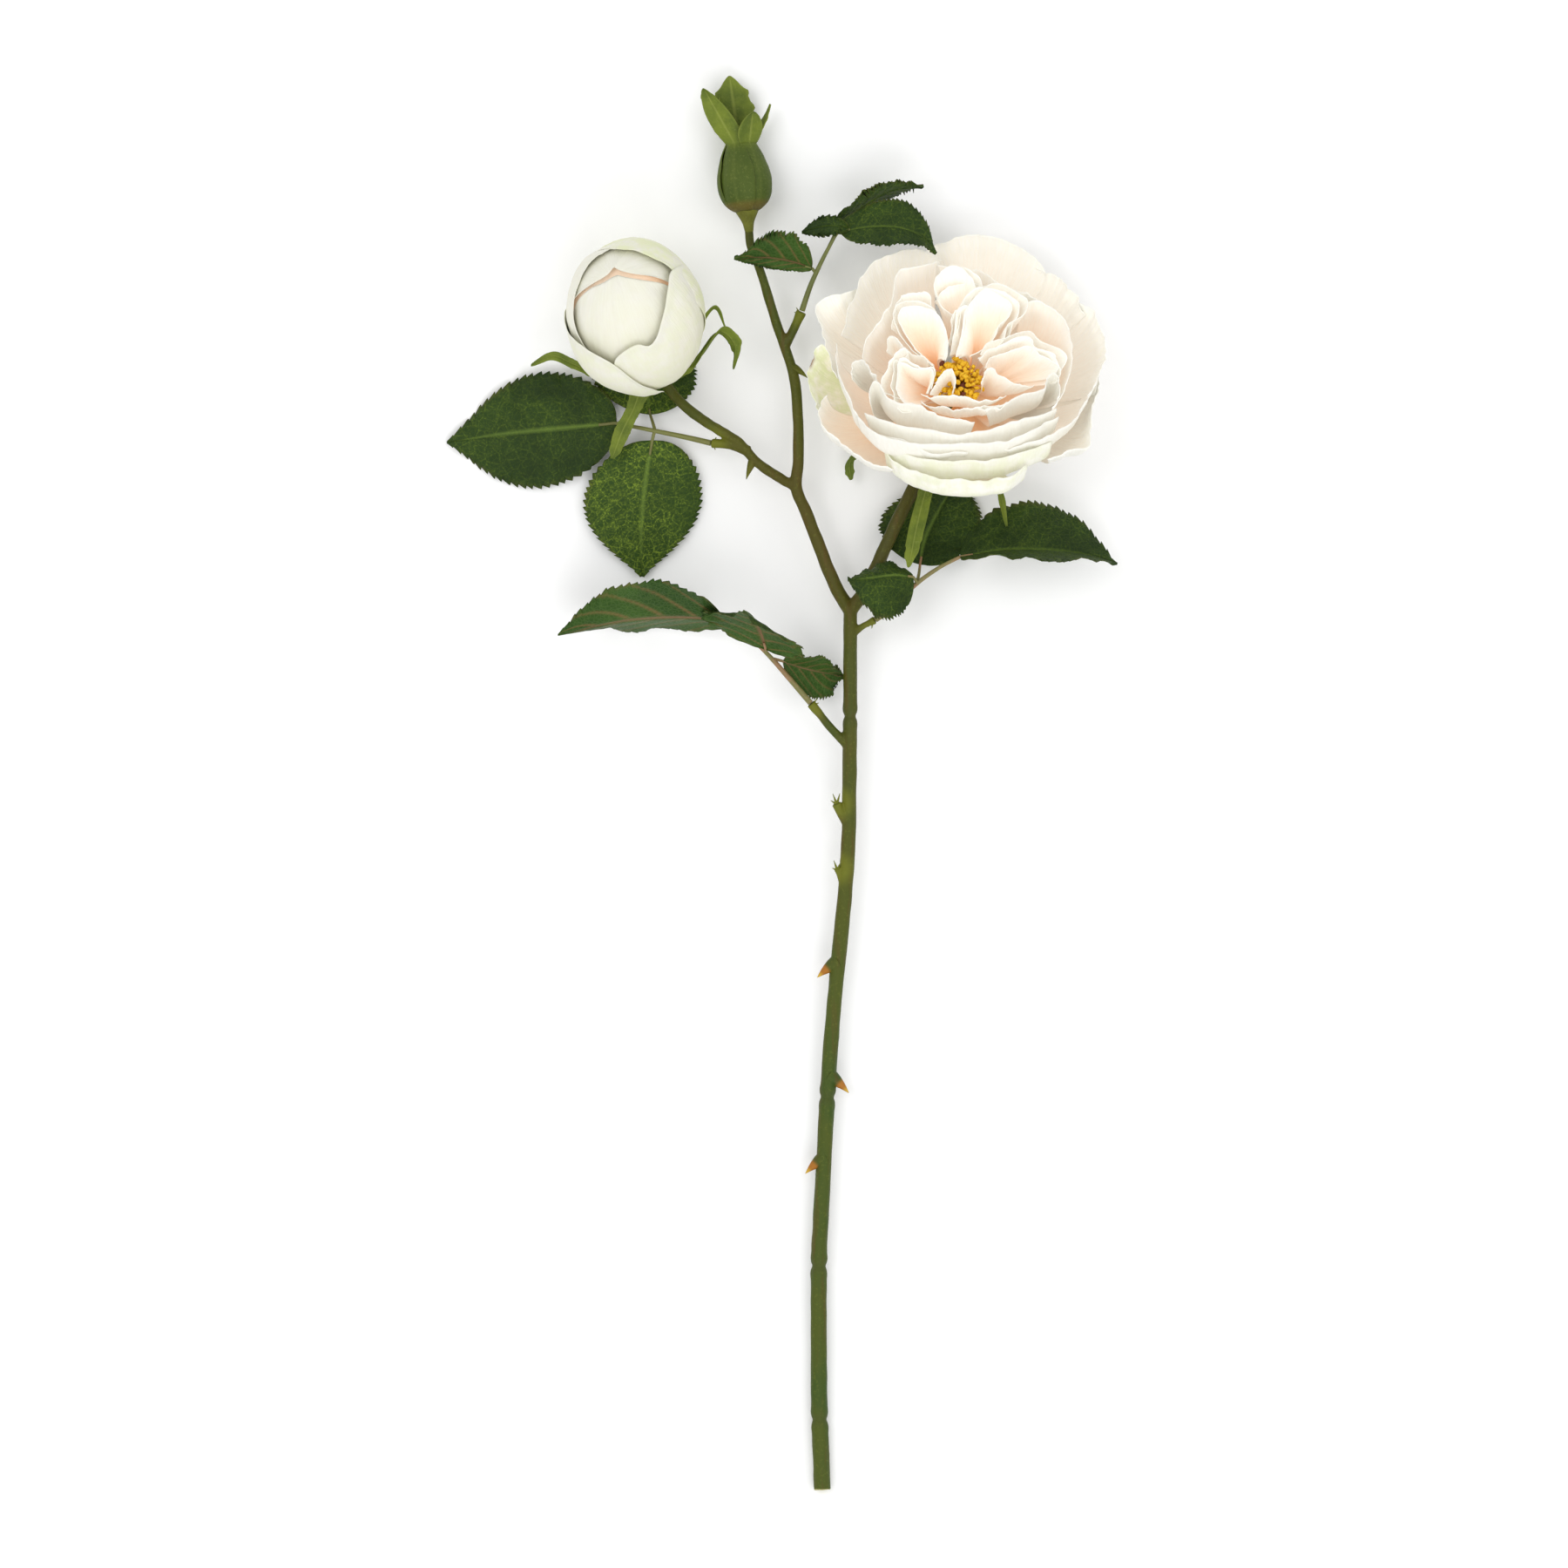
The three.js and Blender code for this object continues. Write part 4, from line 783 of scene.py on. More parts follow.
def leaflet(midrib, width, left, right, share=(1, 1), seed=0, veins=8, teeth=22,
            bright=0.35, under=False):
    """A serrated blade on its midrib, quilted between its side veins."""
    nu, nv = 33, 177
    spine = curve(midrib, nv)
    length = np.linalg.norm(np.diff(spine, axis=0), axis=1).sum()
    s = np.linspace(0, 1, nv)
    outline = 0.5 + width / 2 * np.sin(np.pi * np.clip(s, 0, 0.999) ** 0.78) ** lerp(0.6, 1.1, s)
    saw = 1 - (s * teeth + 0.2 * wave(s * 6, seed)) % 1.0
    tooth = 1 + TOOTH_DEPTH * (saw - 0.5) / outline.clip(6) * ease(s, 0.05, 0.2)
    across = np.linspace(-1, 1, nu)
    ways = np.where(across[:, None] < 0, unit(left), unit(right))
    side = np.where(across < 0, share[0], share[1])
    near = np.abs(across)[:, None]
    reach = near * side[:, None] * (outline * lerp(1, tooth, near**4))
    grid = spine[None] + ways[:, None, :] * reach[..., None]
    # The tips of the side veins lean towards the tip of the leaflet.
    lean = unit(np.gradient(spine, axis=0))
    grid = grid + lean[None] * (near**2 * np.sin(np.pi * s) * 0.05 * length)[..., None]
    beat = s[None, :] * veins - near * 1.9 + np.where(across < 0, 0.0, 0.35)[:, None]
    vein = np.exp(-((((beat + 0.5) % 1.0) - 0.5) ** 2) / (0.007 if under else 0.003))
    quilt = np.abs(np.sin(np.pi * beat)) ** 0.8
    spread = np.sin(np.pi * s)[None, :] ** 0.5
    relief = 0.45 * quilt * near**0.5 * (1 - 0.3 * near) * spread
    relief = relief - 0.7 * ridge(near, 0.05)
    sag = wave(s * 3 + 5, seed + 2)[None, :] * near**3 * 1.6
    flutter = wave(s * 10, seed + 4)[None, :] * near**4 * 1.1
    normal = normals_of(grid)
    facing = 1 if normal[..., 2].mean() > 0 else -1
    made = sheet(
        grid + normal * ((sag + flutter) * facing)[..., None],
        LEAF_THICKNESS,
        rim=0.55,
        relief=relief,
        vein=vein * ease(near, 0.02, 0.12) * (1 - 0.55 * near),
        midrib=ridge(near, 0.045 if under else 0.022) * (1 - 0.5 * s[None, :]),
        edge=ease(near, 0.9, 1.0),
        bright=bright,
    )
    # The side that faces up is the top of the leaf, or its underside where under is set.
    if (facing < 0) != under:
        made.values["under"] = 1 - made.values["under"]
    return made


STALK_GREEN = {"leaf_bud": 0.8, "leaf_low_left": 0.15, "leaf_low_right": 0.1, "leaf_top": 0.9}
for number, (name, leaf) in enumerate(LEAVES.items()):
    ends = [blade["midrib"] for blade in leaf["leaflets"].values()]
    ends = [[a, tuple(lerp(np.asarray(a), np.asarray(b), 0.3))] for a, b, *_ in ends]
    stalks = [tube(leaf["stalk"] + ends[0], lambda t: STALK_RADIUS * lerp(1.25, 0.6, t), 70, 12)]
    for points, end in zip(leaf["side_stalks"], ends[1:]):
        stalks.append(tube(points + end, lambda t: STALK_RADIUS * lerp(0.75, 0.5, t), 20, 10))
    for stalk in stalks:
        stalk.values["green"] = np.full(len(stalk.points), STALK_GREEN[name])
    piece(f"{name}_stalk_skin", stalks, STALK, "stalk", f"{name}_stalk")
    for k, (which, blade) in enumerate(leaf["leaflets"].items()):
        blades = [blade] + leaf.get("lobes", {}).get(which, [])
        parts = [leaflet(**each, seed=number * 5 + k + 40 * n) for n, each in enumerate(blades)]
        piece(f"{name}_blade_{which}", parts, LEAF, "leaf", f"{name}_leaflet_{which}")

# ---- calyxes ----


def sepal(spine, width, sideways, seed):
    """A strap with leafy lobes along its edges, folded a little along its middle."""
    nu, nv = 13, 90
    path = curve(spine, nv)
    across, s = axes(nu, nv, -1)
    outline = 0.35 + width / 2 * (1 - s) ** 0.6 * (0.75 + 0.25 * np.cos(7 * s))
    ragged = 1 + 0.25 * np.maximum(0, wave(s * 11, seed, 3)) * ease(s, 0.1, 0.35)
    reach = across * outline * lerp(1, ragged, np.abs(across) ** 3)
    grid = path[None] + unit(sideways) * reach[..., None]
    relief = 0.5 * np.abs(across) * np.sin(np.pi * s) + 0.25 * wave(s * 8, seed + 1) * across**2
    relief = relief - 0.35 * ridge(across, 0.12)
    vein = ridge(across, 0.1) + 0.5 * ridge(np.abs(across) - 0.5, 0.1)
    return sheet(grid, SEPAL_THICKNESS, relief=relief, vein=vein, pale=ease(np.abs(across), 0.75, 1) * 0.6)


def hip(place, profile, **values):
    return turned(place, profile, vein=0.0, **values)


BLOOM_SEPALS = [
    ([(66.0, 145.0, 15.5), (61.0, 131.0, 17.5), (55.5, 115.0, 20.5), (51.5, 99.0, 24.0), (48.6, 84.3, 27.0)],
     17, (1, 0.35, 0)),
    ([(64.5, 146.0, 15.0), (48.0, 141.0, 12.0), (35.0, 134.0, 9.5), (26.0, 126.0, 8.0)], 9, (0.35, -1, 0)),
    ([(69.0, 145.0, 15.5), (77.0, 131.0, 17.5), (83.5, 116.0, 20.5), (86.7, 100.3, 24.0)], 4.4, (1, 0.3, 0)),
    ([(69.0, 145.0, 15.0), (76.0, 131.5, 16.5), (81.0, 119.0, 19.0), (84.4, 112.5, 20.6)], 3.4, (1, 0.3, 0)),
    ([(34.0, 133.5, 9.2), (29.0, 129.6, 8.6), (25.6, 125.0, 8.0), (26.2, 118.6, 7.2)], 7.5, (1, 0.3, 0)),
    ([(69.5, 148.0, 13.5), (80.0, 156.0, 6.0), (90.0, 166.0, 1.8), (98.0, 176.0, 0.6)], 10, (0.8, -0.8, 0)),
    ([(65.0, 148.0, 13.5), (55.0, 158.0, 6.0), (46.0, 169.0, 1.8), (39.0, 179.0, 0.6)], 10, (0.8, 0.8, 0)),
]
HALF_OPEN_SEPALS = [
    ([(-52.0, 162.5, 14.0), (-55.5, 155.0, 16.5), (-58.5, 146.4, 16.8), (-62.9, 137.7, 15.5),
      (-67.0, 126.8, 13.4)], 14, (1, -0.3, 0)),
    ([(-49.0, 162.5, 14.5), (-38.0, 160.0, 19.0), (-31.6, 168.0, 23.5), (-24.4, 176.4, 26.0),
      (-18.9, 171.2, 26.5), (-19.4, 161.6, 24.5)], 12, (0.6, 0.5, 0.6)),
    ([(-48.5, 163.5, 15.0), (-35.0, 167.5, 21.0), (-31.3, 180.5, 30.0), (-26.8, 185.4, 32.0),
      (-22.8, 178.0, 30.5)], 6, (0.2, 0.5, 0.85)),
    ([(-53.0, 163.0, 14.5), (-68.0, 158.6, 15.5), (-82.0, 163.6, 17.5), (-90.0, 166.8, 18.0),
      (-98.6, 163.2, 17.0)], 8, (0.15, 1, 0.1)),
    ([(-50.5, 165.5, 14.0), (-51.5, 176.0, 7.6), (-53.5, 188.0, 4.0), (-55.5, 198.0, 2.6)], 8, (1, 0, 0)),
]
bloom_base = -BLOOM_DEPTH - BLOOM_HIP_LENGTH
bloom_hip = hip(
    bloom,
    [(BLOOM_SHOOT_RADIUS, bloom_base), (4.6, bloom_base + 3), (5.2, -BLOOM_DEPTH - 3), (4.4, -BLOOM_DEPTH),
     (3.4, -BLOOM_DEPTH + 10), (2.4, -BLOOM_DEPTH + 16)],
)
piece(
    "bloom_calyx_skin",
    [bloom_hip] + [sepal(*made, seed=k) for k, made in enumerate(BLOOM_SEPALS)],
    SEPAL, "sepal", "bloom_calyx",
)
half_base = -HALF_OPEN_HALF_LENGTH - HALF_OPEN_HIP_LENGTH
half_hip = hip(
    half_open,
    [(SHOOT_RADIUS, half_base), (3.8, half_base + 2.5), (4.6, -HALF_OPEN_HALF_LENGTH - 2.5),
     (4.0, -HALF_OPEN_HALF_LENGTH), (2.6, -HALF_OPEN_HALF_LENGTH + 6)],
)
piece(
    "half_open_calyx_skin",
    [half_hip] + [sepal(*made, seed=9 + k) for k, made in enumerate(HALF_OPEN_SEPALS)],
    SEPAL, "sepal", "half_open_calyx",
)


def closed_bud_radius(h):
    t = (np.asarray(h, float) + CLOSED_BUD_SEAT) / (CLOSED_BUD_LENGTH + CLOSED_BUD_SEAT)
    return CLOSED_BUD_RADIUS * np.sin(np.pi * np.clip(t, 0.001, 1) ** 0.62) ** 0.7


core = [(float(closed_bud_radius(h)) - 1.0, h) for h in (0.6, 2, 5, 9, 13, 18, 23, 27)]
piece("closed_bud_core", hip(closed_bud, core, pale=0.3), SEPAL, "sepal", "closed_bud_body")
# Each sepal's way round the bud, where its leafy end points, and how wide that end is.
CLOSED_SEPAL_TIPS = [
    (248, (-12, -5, 47), 5), (308, (6, -7, 36), 6), (20, (13, 3, 39), 2.6), (95, (-1.5, 3, 51.5), 8.5),
    (165, (-5, 5, 45), 4),
]
# The share of a sepal that lies on the bud, and half the angle that it spans there.
WRAPPED_SHARE = 0.7
SEPAL_HALF_SPAN = math.radians(46)


def closed_sepal(angle, tip, width, seed):
    across, s = axes(21, 90, -1)
    middle = math.radians(angle)
    low = np.clip(s / WRAPPED_SHARE, 0, 1)
    h = lerp(-2, WRAPPED_LENGTH, low)
    r = closed_bud_radius(h) + 0.4 + 0.5 * across * np.sin(np.pi * low)
    turn = middle + SEPAL_HALF_SPAN * across * (1 - 0.18 * ease(low, 0.6, 1))
    wrapped = closed_bud(r * np.cos(turn), r * np.sin(turn), h + 0 * turn)
    t = np.clip((s - WRAPPED_SHARE) / 0.3, 0, 1)
    neck = closed_bud_radius(WRAPPED_LENGTH) + 0.2
    end_turn = middle + SEPAL_HALF_SPAN * 0.82 * across
    start = (neck * np.cos(end_turn), neck * np.sin(end_turn), WRAPPED_LENGTH + 0 * across)
    shrink = np.sin(np.pi * (0.24 + 0.75 * t)) ** 0.7
    side = (-math.sin(middle), math.cos(middle))
    lobe = 1 + 0.7 * np.maximum(0, wave(s * 16, seed + 30, 2)) * np.abs(across) ** 3
    half = width / 2 * shrink * lobe * across
    target = (tip[0] + side[0] * half, tip[1] + side[1] * half, tip[2] + 0 * half)
    blend = ease(t, 0, 1)
    way = [lerp(a + 0 * t, b + 0 * t, lerp(t, blend, 0.4)) for a, b in zip(start, target)]
    spread = half * np.sin(np.pi * t) ** 0.8 * 0.9
    flared = closed_bud(way[0] + side[0] * spread, way[1] + side[1] * spread, way[2])
    grid = np.where((s <= WRAPPED_SHARE)[..., None], wrapped, flared)
    fold = (0.45 * ease(s, 0.6, 0.9) + 0.3) * np.abs(across) + 0.2 * wave(s * 7, seed + 40) * across**2
    red = 0.4 * (1 - ease(np.abs(h + 0.5), 0.6, 3.0)) * (s <= WRAPPED_SHARE)
    return sheet(grid, SEPAL_THICKNESS, relief=fold, vein=ridge(across, 0.12), red=red,
                 pale=ease(np.abs(across), 0.85, 1), dark=1 - ease(s, 0.6, 0.8))


closed_hip = hip(
    closed_bud,
    [(SHOOT_RADIUS * 0.8, -CLOSED_BUD_HIP_LENGTH), (2.4, -CLOSED_BUD_HIP_LENGTH + 4), (3.8, -3.6),
     (5.2, -0.6), (5.0, 0)],
    red=0.25,
)
piece(
    "closed_bud_calyx_skin",
    [closed_hip] + [closed_sepal(*made, seed=k) for k, made in enumerate(CLOSED_SEPAL_TIPS)],
    SEPAL, "sepal", "closed_bud_calyx",
)

# ---- petals ----
BELLY = 6.0
# A point over the middle of each flower, which the insides of its petals face.
HEARTS = np.array([bloom(0, 0, 6), half_open(0, 0, 0)])


def normals_sum(shape):
    """The way the first side of a plate faces, summed over its faces."""
    n = len(shape.points) // 2
    quads = np.array([face for face in shape.faces if max(face) < n])
    corners = shape.points[quads]
    return np.cross(corners[:, 2] - corners[:, 0], corners[:, 3] - corners[:, 1]).sum(axis=0)


def with_outside(shape, share=1.0):
    """Marks the side of a petal that faces away from the middle of its flower, and how much painted shade it
    takes.
    """
    middle = shape.points.mean(axis=0)
    n = len(shape.points) // 2
    way = normals_sum(shape)
    away = (way * (middle - HEARTS[np.linalg.norm(HEARTS - middle, axis=1).argmin()])).sum()
    first = np.repeat([1.0, 0.0], n)
    shape.values["outside"] = share * (first if away > 0 else 1 - first)
    return shape


def petal(rim, root, seed, bowl=1.8, rise=1.6, narrow=0.55, lip=1.1, warm=0.18, green=0.0,
          ruffle=0.9, belly=None, brown=None, back_shade=1.0):
    """A petal from its root to its rim, with a curled lip, creases and a slightly ruffled edge.

    belly is how far it stands out beyond its rim lower down; the petals low in the picture,
    whose backs show, have the most."""
    nu, nv = 81, 41
    edge = curve(rim, nu)[:, None, :]
    middle = edge[nu // 2]
    if belly is None:
        belly = BELLY * max(0.0, -middle[0, 1] / np.hypot(middle[0, 0], middle[0, 1])) ** 1.5
    root = np.asarray(root, float)
    u, s = axes(nu, nv)
    v = s[..., None]
    out = 1 - (1 - v) ** bowl
    spread = (0.22 + 0.78 * out) * (narrow + (1 - narrow) * v)
    flat = lerp(root[None, None, :2], middle[None, :, :2], out) + (edge - middle)[..., :2] * spread
    height = lerp(root[2], middle[0, 2], s ** rise) + (edge - middle)[..., 2] * s ** 2
    curl = ease(s, 0.8, 1.0) ** 2
    outward = unit(edge[..., :2] - root[:2])
    swell = belly * np.sin(np.pi * s ** 1.4) ** 1.2
    swell = swell + ruffle * (wave(u * 6, seed + 7) + 0.35 * wave(u * 19, seed + 8)) * s ** 5
    flat = flat + outward * (lip * (curl - s ** 3) + swell)[..., None]
    wobble = ruffle * (wave(u * 4, seed) + 0.35 * wave(u * 13, seed + 9))
    height = height - 0.55 * lip * curl + wobble * s ** 4
    grid = bloom(flat[..., 0], flat[..., 1], height)
    crease = 0.16 * wave(u * 22, seed + 3) * s + 0.35 * wave(u * 6, seed + 5) * s ** 2
    spots = 0.0 if brown is None else brown(u, s)
    made = sheet(
        grid, PETAL_THICKNESS, relief=crease, warm=warm, green=green, seed=seed * 1.7, brown=spots
    )
    return with_outside(made, back_shade)


def rim_of(points):
    """A rim seen along the camera's line, as (x, up the picture, h), in the bloom's frame."""
    return [(x, (y - math.sin(tilt) * h) / math.cos(tilt), h) for x, y, h in points]


# Root radius and height of each layer, from the outside in.
LAYERS = {"guard": (7.2, -35.4), "cup": (6.6, -32.6), "ring": (5.8, -29.0), "heart": (4.6, -21.0)}
GREEN_TIP = dict(
    green=0.8, brown=lambda u, v: ease(v, 0.93, 1.0) * (1 - ease(np.abs(u - 0.62), 0.02, 0.1))
)
# The bloom's petals as their rims; each stands for one petal of the CAD model where one is named.
# A warm option paints more peach on a petal: partly its own tint, partly painted warm shade between the
# petals.
BLOOM_PETALS = {
    "guard_top": ("guard", "petal_guard_3", {}, [
        (-12, 43, -9), (-6, 47, -7), (4, 50, -5), (16, 49, -4), (24.5, 45.5, -5), (30.5, 39.5, -6),
        (36.5, 32.5, -9)]),
    "guard_upper_right": ("guard", "petal_guard_2", {}, [
        (30.5, 37, -9), (37, 35, -7), (43, 30.5, -6), (47, 24.5, -7), (49, 18.5, -9)]),
    "guard_right": ("guard", "petal_outer_1", {}, [
        (46, 24, -9), (51, 21.5, -7), (55, 14.5, -6), (58, 4, -5), (55.5, -3.5, -7), (53.5, -12, -9)]),
    "guard_lower_right": ("guard", "petal_guard_1", {}, [
        (55, -3, -10), (54, -13, -8), (52, -23, -7), (50, -33.5, -6), (43, -35, -8), (35.5, -38.5, -10)]),
    "guard_bottom": ("guard", "petal_guard_8", dict(green=0.45), [
        (27.5, -40.5, -8), (20.5, -44.5, -6), (10.5, -45.5, -5), (-1.5, -45.5, -5), (-12, -43.5, -6),
        (-21.5, -40, -7), (-28.5, -34, -9)]),
    "guard_lower_left": ("guard", "petal_guard_7", dict(warm=0.7), [
        (-24.5, -41, -11), (-32.5, -39.5, -10), (-41, -33.5, -9), (-53.5, -24.5, -7), (-54, -19, -8),
        (-50.5, -12, -11)]),
    "guard_left": ("guard", "petal_guard_6", GREEN_TIP, [
        (-52, -20, -13), (-55.5, -14.5, -12), (-58, -6, -11), (-55.5, 2.5, -10), (-52, 7, -10),
        (-49, 2, -13)]),
    "guard_left_corner": ("guard", "petal_guard_5", {}, [
        (-47, -6, -9), (-51, 8, -7), (-54, 21.5, -5), (-50.5, 25, -5), (-44, 27.5, -6), (-38, 30, -9)]),
    "guard_upper_left": ("guard", "petal_guard_4", {}, [
        (-45.5, 11, -7), (-39.5, 29.5, -4), (-35.5, 35.5, -3), (-30, 40.5, -3), (-22.5, 44, -3),
        (-14, 44, -4), (-5.5, 41.5, -8)]),
    "cup_upper_left": ("cup", "petal_outer_3", {}, [
        (-37, 1, 0), (-35.5, 9, 3), (-28, 18, 5), (-25.5, 25.5, 6), (-23.5, 35, 6), (-17, 38, 5),
        (-7, 40, 2)]),
    "cup_left": ("cup", "petal_outer_4", dict(warm=0.55), [
        (-47.5, 7.5, -4), (-47, -1.5, -1), (-44, -10, 1), (-40, -19, 2), (-31, -27.5, 2), (-18.5, -31.5, 2),
        (-7.5, -35, 1), (4, -36, -1)]),
    "cup_bottom": ("cup", "petal_outer_5", dict(green=0.35), [
        (-28.5, -31.5, -5), (-18.5, -36, -3), (-7.5, -38.5, -2), (4, -38.5, -2), (16, -37.5, -2),
        (26, -35, -3), (37.5, -31.5, -5)]),
    "cup_lower_right": ("cup", None, {}, [
        (54, -6, -5), (50, -14.5, -3), (44, -22.5, -1), (36, -28.5, 0), (26, -32.5, 0), (14.5, -34, -1)]),
    "cup_top": ("cup", "petal_outer_2", {}, [
        (-7.5, 38, 0), (2.5, 37, 2), (11, 34.5, 3), (21.5, 28.5, 4), (30, 25.5, 3), (36, 19, 0)]),
    "ring_right": ("ring", "petal_middle_1", dict(warm=0.45), [
        (23.5, 22, 2), (30.5, 24.5, 5), (37, 22, 7), (43, 15, 8), (44.5, 7.5, 8), (44, -1.5, 7), (42, -9, 6),
        (38, -16, 4)]),
    "ring_left_lobe": ("ring", "petal_middle_2", {}, [
        (-41.5, -6, 2), (-41.5, -1, 5), (-38.5, 1.5, 7), (-35, 0, 7), (-32.5, -6, 6), (-32, -10, 3)]),
    "ring_low_left": ("ring", "petal_middle_3", dict(warm=0.6), [
        (-33, -14.5, 5), (-33.5, -10, 7), (-31.5, -7.5, 8), (-28.5, -11.5, 8), (-21.5, -16.5, 8),
        (-12, -18, 8), (-3, -21.5, 8), (6.5, -23, 6)]),
    "ring_low": ("ring", "petal_middle_4", dict(warm=0.5), [
        (-35.5, -19, 3), (-28, -22.5, 5), (-18.5, -26, 6), (-6, -27.5, 6), (6.5, -26.5, 6), (19, -24.5, 6),
        (30, -21.5, 5), (38.5, -17.5, 3)]),
    "ring_low_outer": ("ring", None, dict(warm=0.45), [
        (-39.5, -21, 1), (-31, -28, 3), (-20, -30.5, 4), (-7.5, -31.5, 4), (5, -31, 4), (17.5, -30, 4),
        (29, -26.5, 3), (39.5, -21, 1)]),
    "ring_low_right": ("ring", "petal_inner_3", dict(warm=0.5), [
        (10.5, -19, 7), (20.5, -14.5, 8), (27.5, -12, 9), (33.5, -9.5, 9), (35, -6, 8), (37, -4.5, 8),
        (39.5, -8, 8), (39.5, -13, 7), (37, -17.5, 5)]),
    "heart_top": ("heart", "petal_heart_top_spoon", dict(root=(0.6, 5.4, -20)), [
        (0, 17.5, 2), (-6, 22, 5), (-9, 27.5, 8), (-8.5, 33.5, 10), (-4, 36.5, 11), (0.5, 37, 11),
        (5, 34.5, 10), (7.5, 30, 8), (6, 25.5, 6), (1.5, 20, 2)]),
    "heart_left": ("heart", "petal_heart_left_spoon", dict(root=(-4.6, 2.6, -20), warm=0.7), [
        (-8.5, -1.5, 0), (-15.5, 4.5, 4), (-20.5, 11.5, 7), (-23, 18.5, 9), (-21.5, 21.5, 10),
        (-14.5, 22, 10), (-8, 19, 9), (-5, 13.5, 7), (-3.5, 7.5, 4), (-4.5, 1, 0)]),
    "heart_left_back": ("heart", "petal_heart_left_back", {}, [
        (-25, 13, 4), (-25, 20.5, 8), (-22.5, 25, 9), (-18, 27, 10), (-13.5, 27.5, 10), (-10.5, 25.5, 9),
        (-10, 20, 6)]),
    "heart_left_ruffle": ("heart", "petal_inner_2", dict(warm=0.7), [
        (-27, 4, 2), (-26.5, 10, 6), (-24, 9.5, 8), (-21.5, 6, 8), (-18.5, 4, 7), (-14, 2.5, 5),
        (-11, -0.5, 2)]),
    "heart_left_fold": ("heart", "petal_heart_left_low", dict(warm=0.8), [
        (-21.5, -15.5, 3), (-29, -10.5, 5), (-28, -3.5, 8), (-24.5, 2, 9), (-21, 5.5, 9), (-19, 4, 7),
        (-21.5, 0.5, 5)]),
    "heart_low_left": ("heart", "petal_heart_low_left", {}, [
        (-10.5, -10, 3), (-9, -2, 6), (-14.5, -1.5, 8), (-19.5, 1, 9), (-22.5, 1.5, 9), (-23.5, -4.5, 9),
        (-23, -10.5, 8), (-21, -16, 6), (-14, -17.5, 4)]),
    "heart_small": ("heart", "petal_heart_low_small", {}, [
        (-10.5, -12.5, 3), (-8.5, -8.5, 6), (-6, -4.5, 9), (-3, -2.5, 10), (-1.5, -3.5, 9), (-1, -8, 7),
        (-2, -12, 3)]),
    "heart_narrow": ("heart", "petal_heart_right_narrow", {}, [
        (-1.5, 6.5, 0), (-0.5, 14.5, 4), (-0.5, 19, 7), (1.5, 22, 9), (4, 22.5, 9), (3, 18.5, 7),
        (2, 9.5, 2)]),
    "heart_right": ("heart", "petal_heart_right_fold", dict(root=(3.6, 3.0, -20.5)), [
        (0, 2, 0), (2, 11, 4), (3, 19, 7), (6.5, 25, 9), (11, 28.5, 10), (14.5, 28, 10), (20.5, 25.5, 10),
        (24, 22.5, 10), (23.5, 17.5, 9), (19.5, 14.5, 7), (17.5, 8, 4), (8, 1, 0)]),
    "heart_right_wave": ("heart", "petal_heart_right_wave", {}, [
        (8.5, 0.5, 1), (10, 4, 4), (16.5, 6.5, 7), (23.5, 9.5, 9), (27.5, 9.5, 10), (30.5, 6, 10),
        (35, 4, 9), (38.5, 1.5, 9), (39.5, -2, 8), (37.5, -6, 6)]),
    "heart_right_low": ("heart", "petal_heart_right_low", {}, [
        (9, -9, 2), (10, -4, 5), (13, -2, 8), (16.5, -4.5, 8), (21.5, -8, 8), (26, -9, 7), (30.5, -9, 5)]),
    "heart_low_right": ("heart", "petal_heart_low_right", {}, [
        (3.5, -17.5, 0), (9, -18.5, 5), (16, -18, 7), (21, -14.5, 5)]),
    "heart_front": ("heart", None, dict(warm=0.9), [
        (-14, -12, 2), (-9, -13.5, 5), (-1, -13.8, 6), (6, -14.5, 6.5), (13, -15, 6), (19, -13.5, 3)]),
    "heart_front_low": ("heart", None, dict(warm=0.8, root=(0.5, -6.0, -24)), [
        (-14, -15, 2), (-8, -17.5, 4), (1, -18.5, 5), (9, -17.5, 5), (16, -16.5, 3)]),
    "heart_back": ("heart", "petal_inner_1", dict(warm=0.6), [
        (-9, 24, 2), (-3, 29, 5), (6, 31, 6), (16, 29, 6), (24, 24, 4)]),
}
# Petals folded in beside another of the heart: that petal's rim, moved and shrunk a little.
ECHOES = {
    "heart_left": [(-1.6, 0.6, -1.4, 1.1)],
    "heart_right": [(1.8, 1.0, -1.6, 1.1), (-3.4, 0.4, -1.0, 0.98)],
    "heart_top": [(1.6, -0.6, -1.4, 1.1)],
    "heart_right_wave": [(1.4, 2.6, -1.6, 1.05), (1.2, -2.8, -1.2, 0.95)],
    "heart_low_left": [(-1.4, -1.6, -1.2, 1.1)],
    "heart_narrow": [(-2.0, -0.6, -1.0, 0.9)],
}
for name, moves in ECHOES.items():
    layer, _, options, points = BLOOM_PETALS[name]
    centre = np.mean(points, axis=0)
    for k, (x, y, h, share) in enumerate(moves):
        moved = centre + (np.asarray(points) - centre) * (share, share, 1) + (x, y, h)
        BLOOM_PETALS[f"{name}_echo_{k + 1}"] = (layer, None, options, moved.tolist())
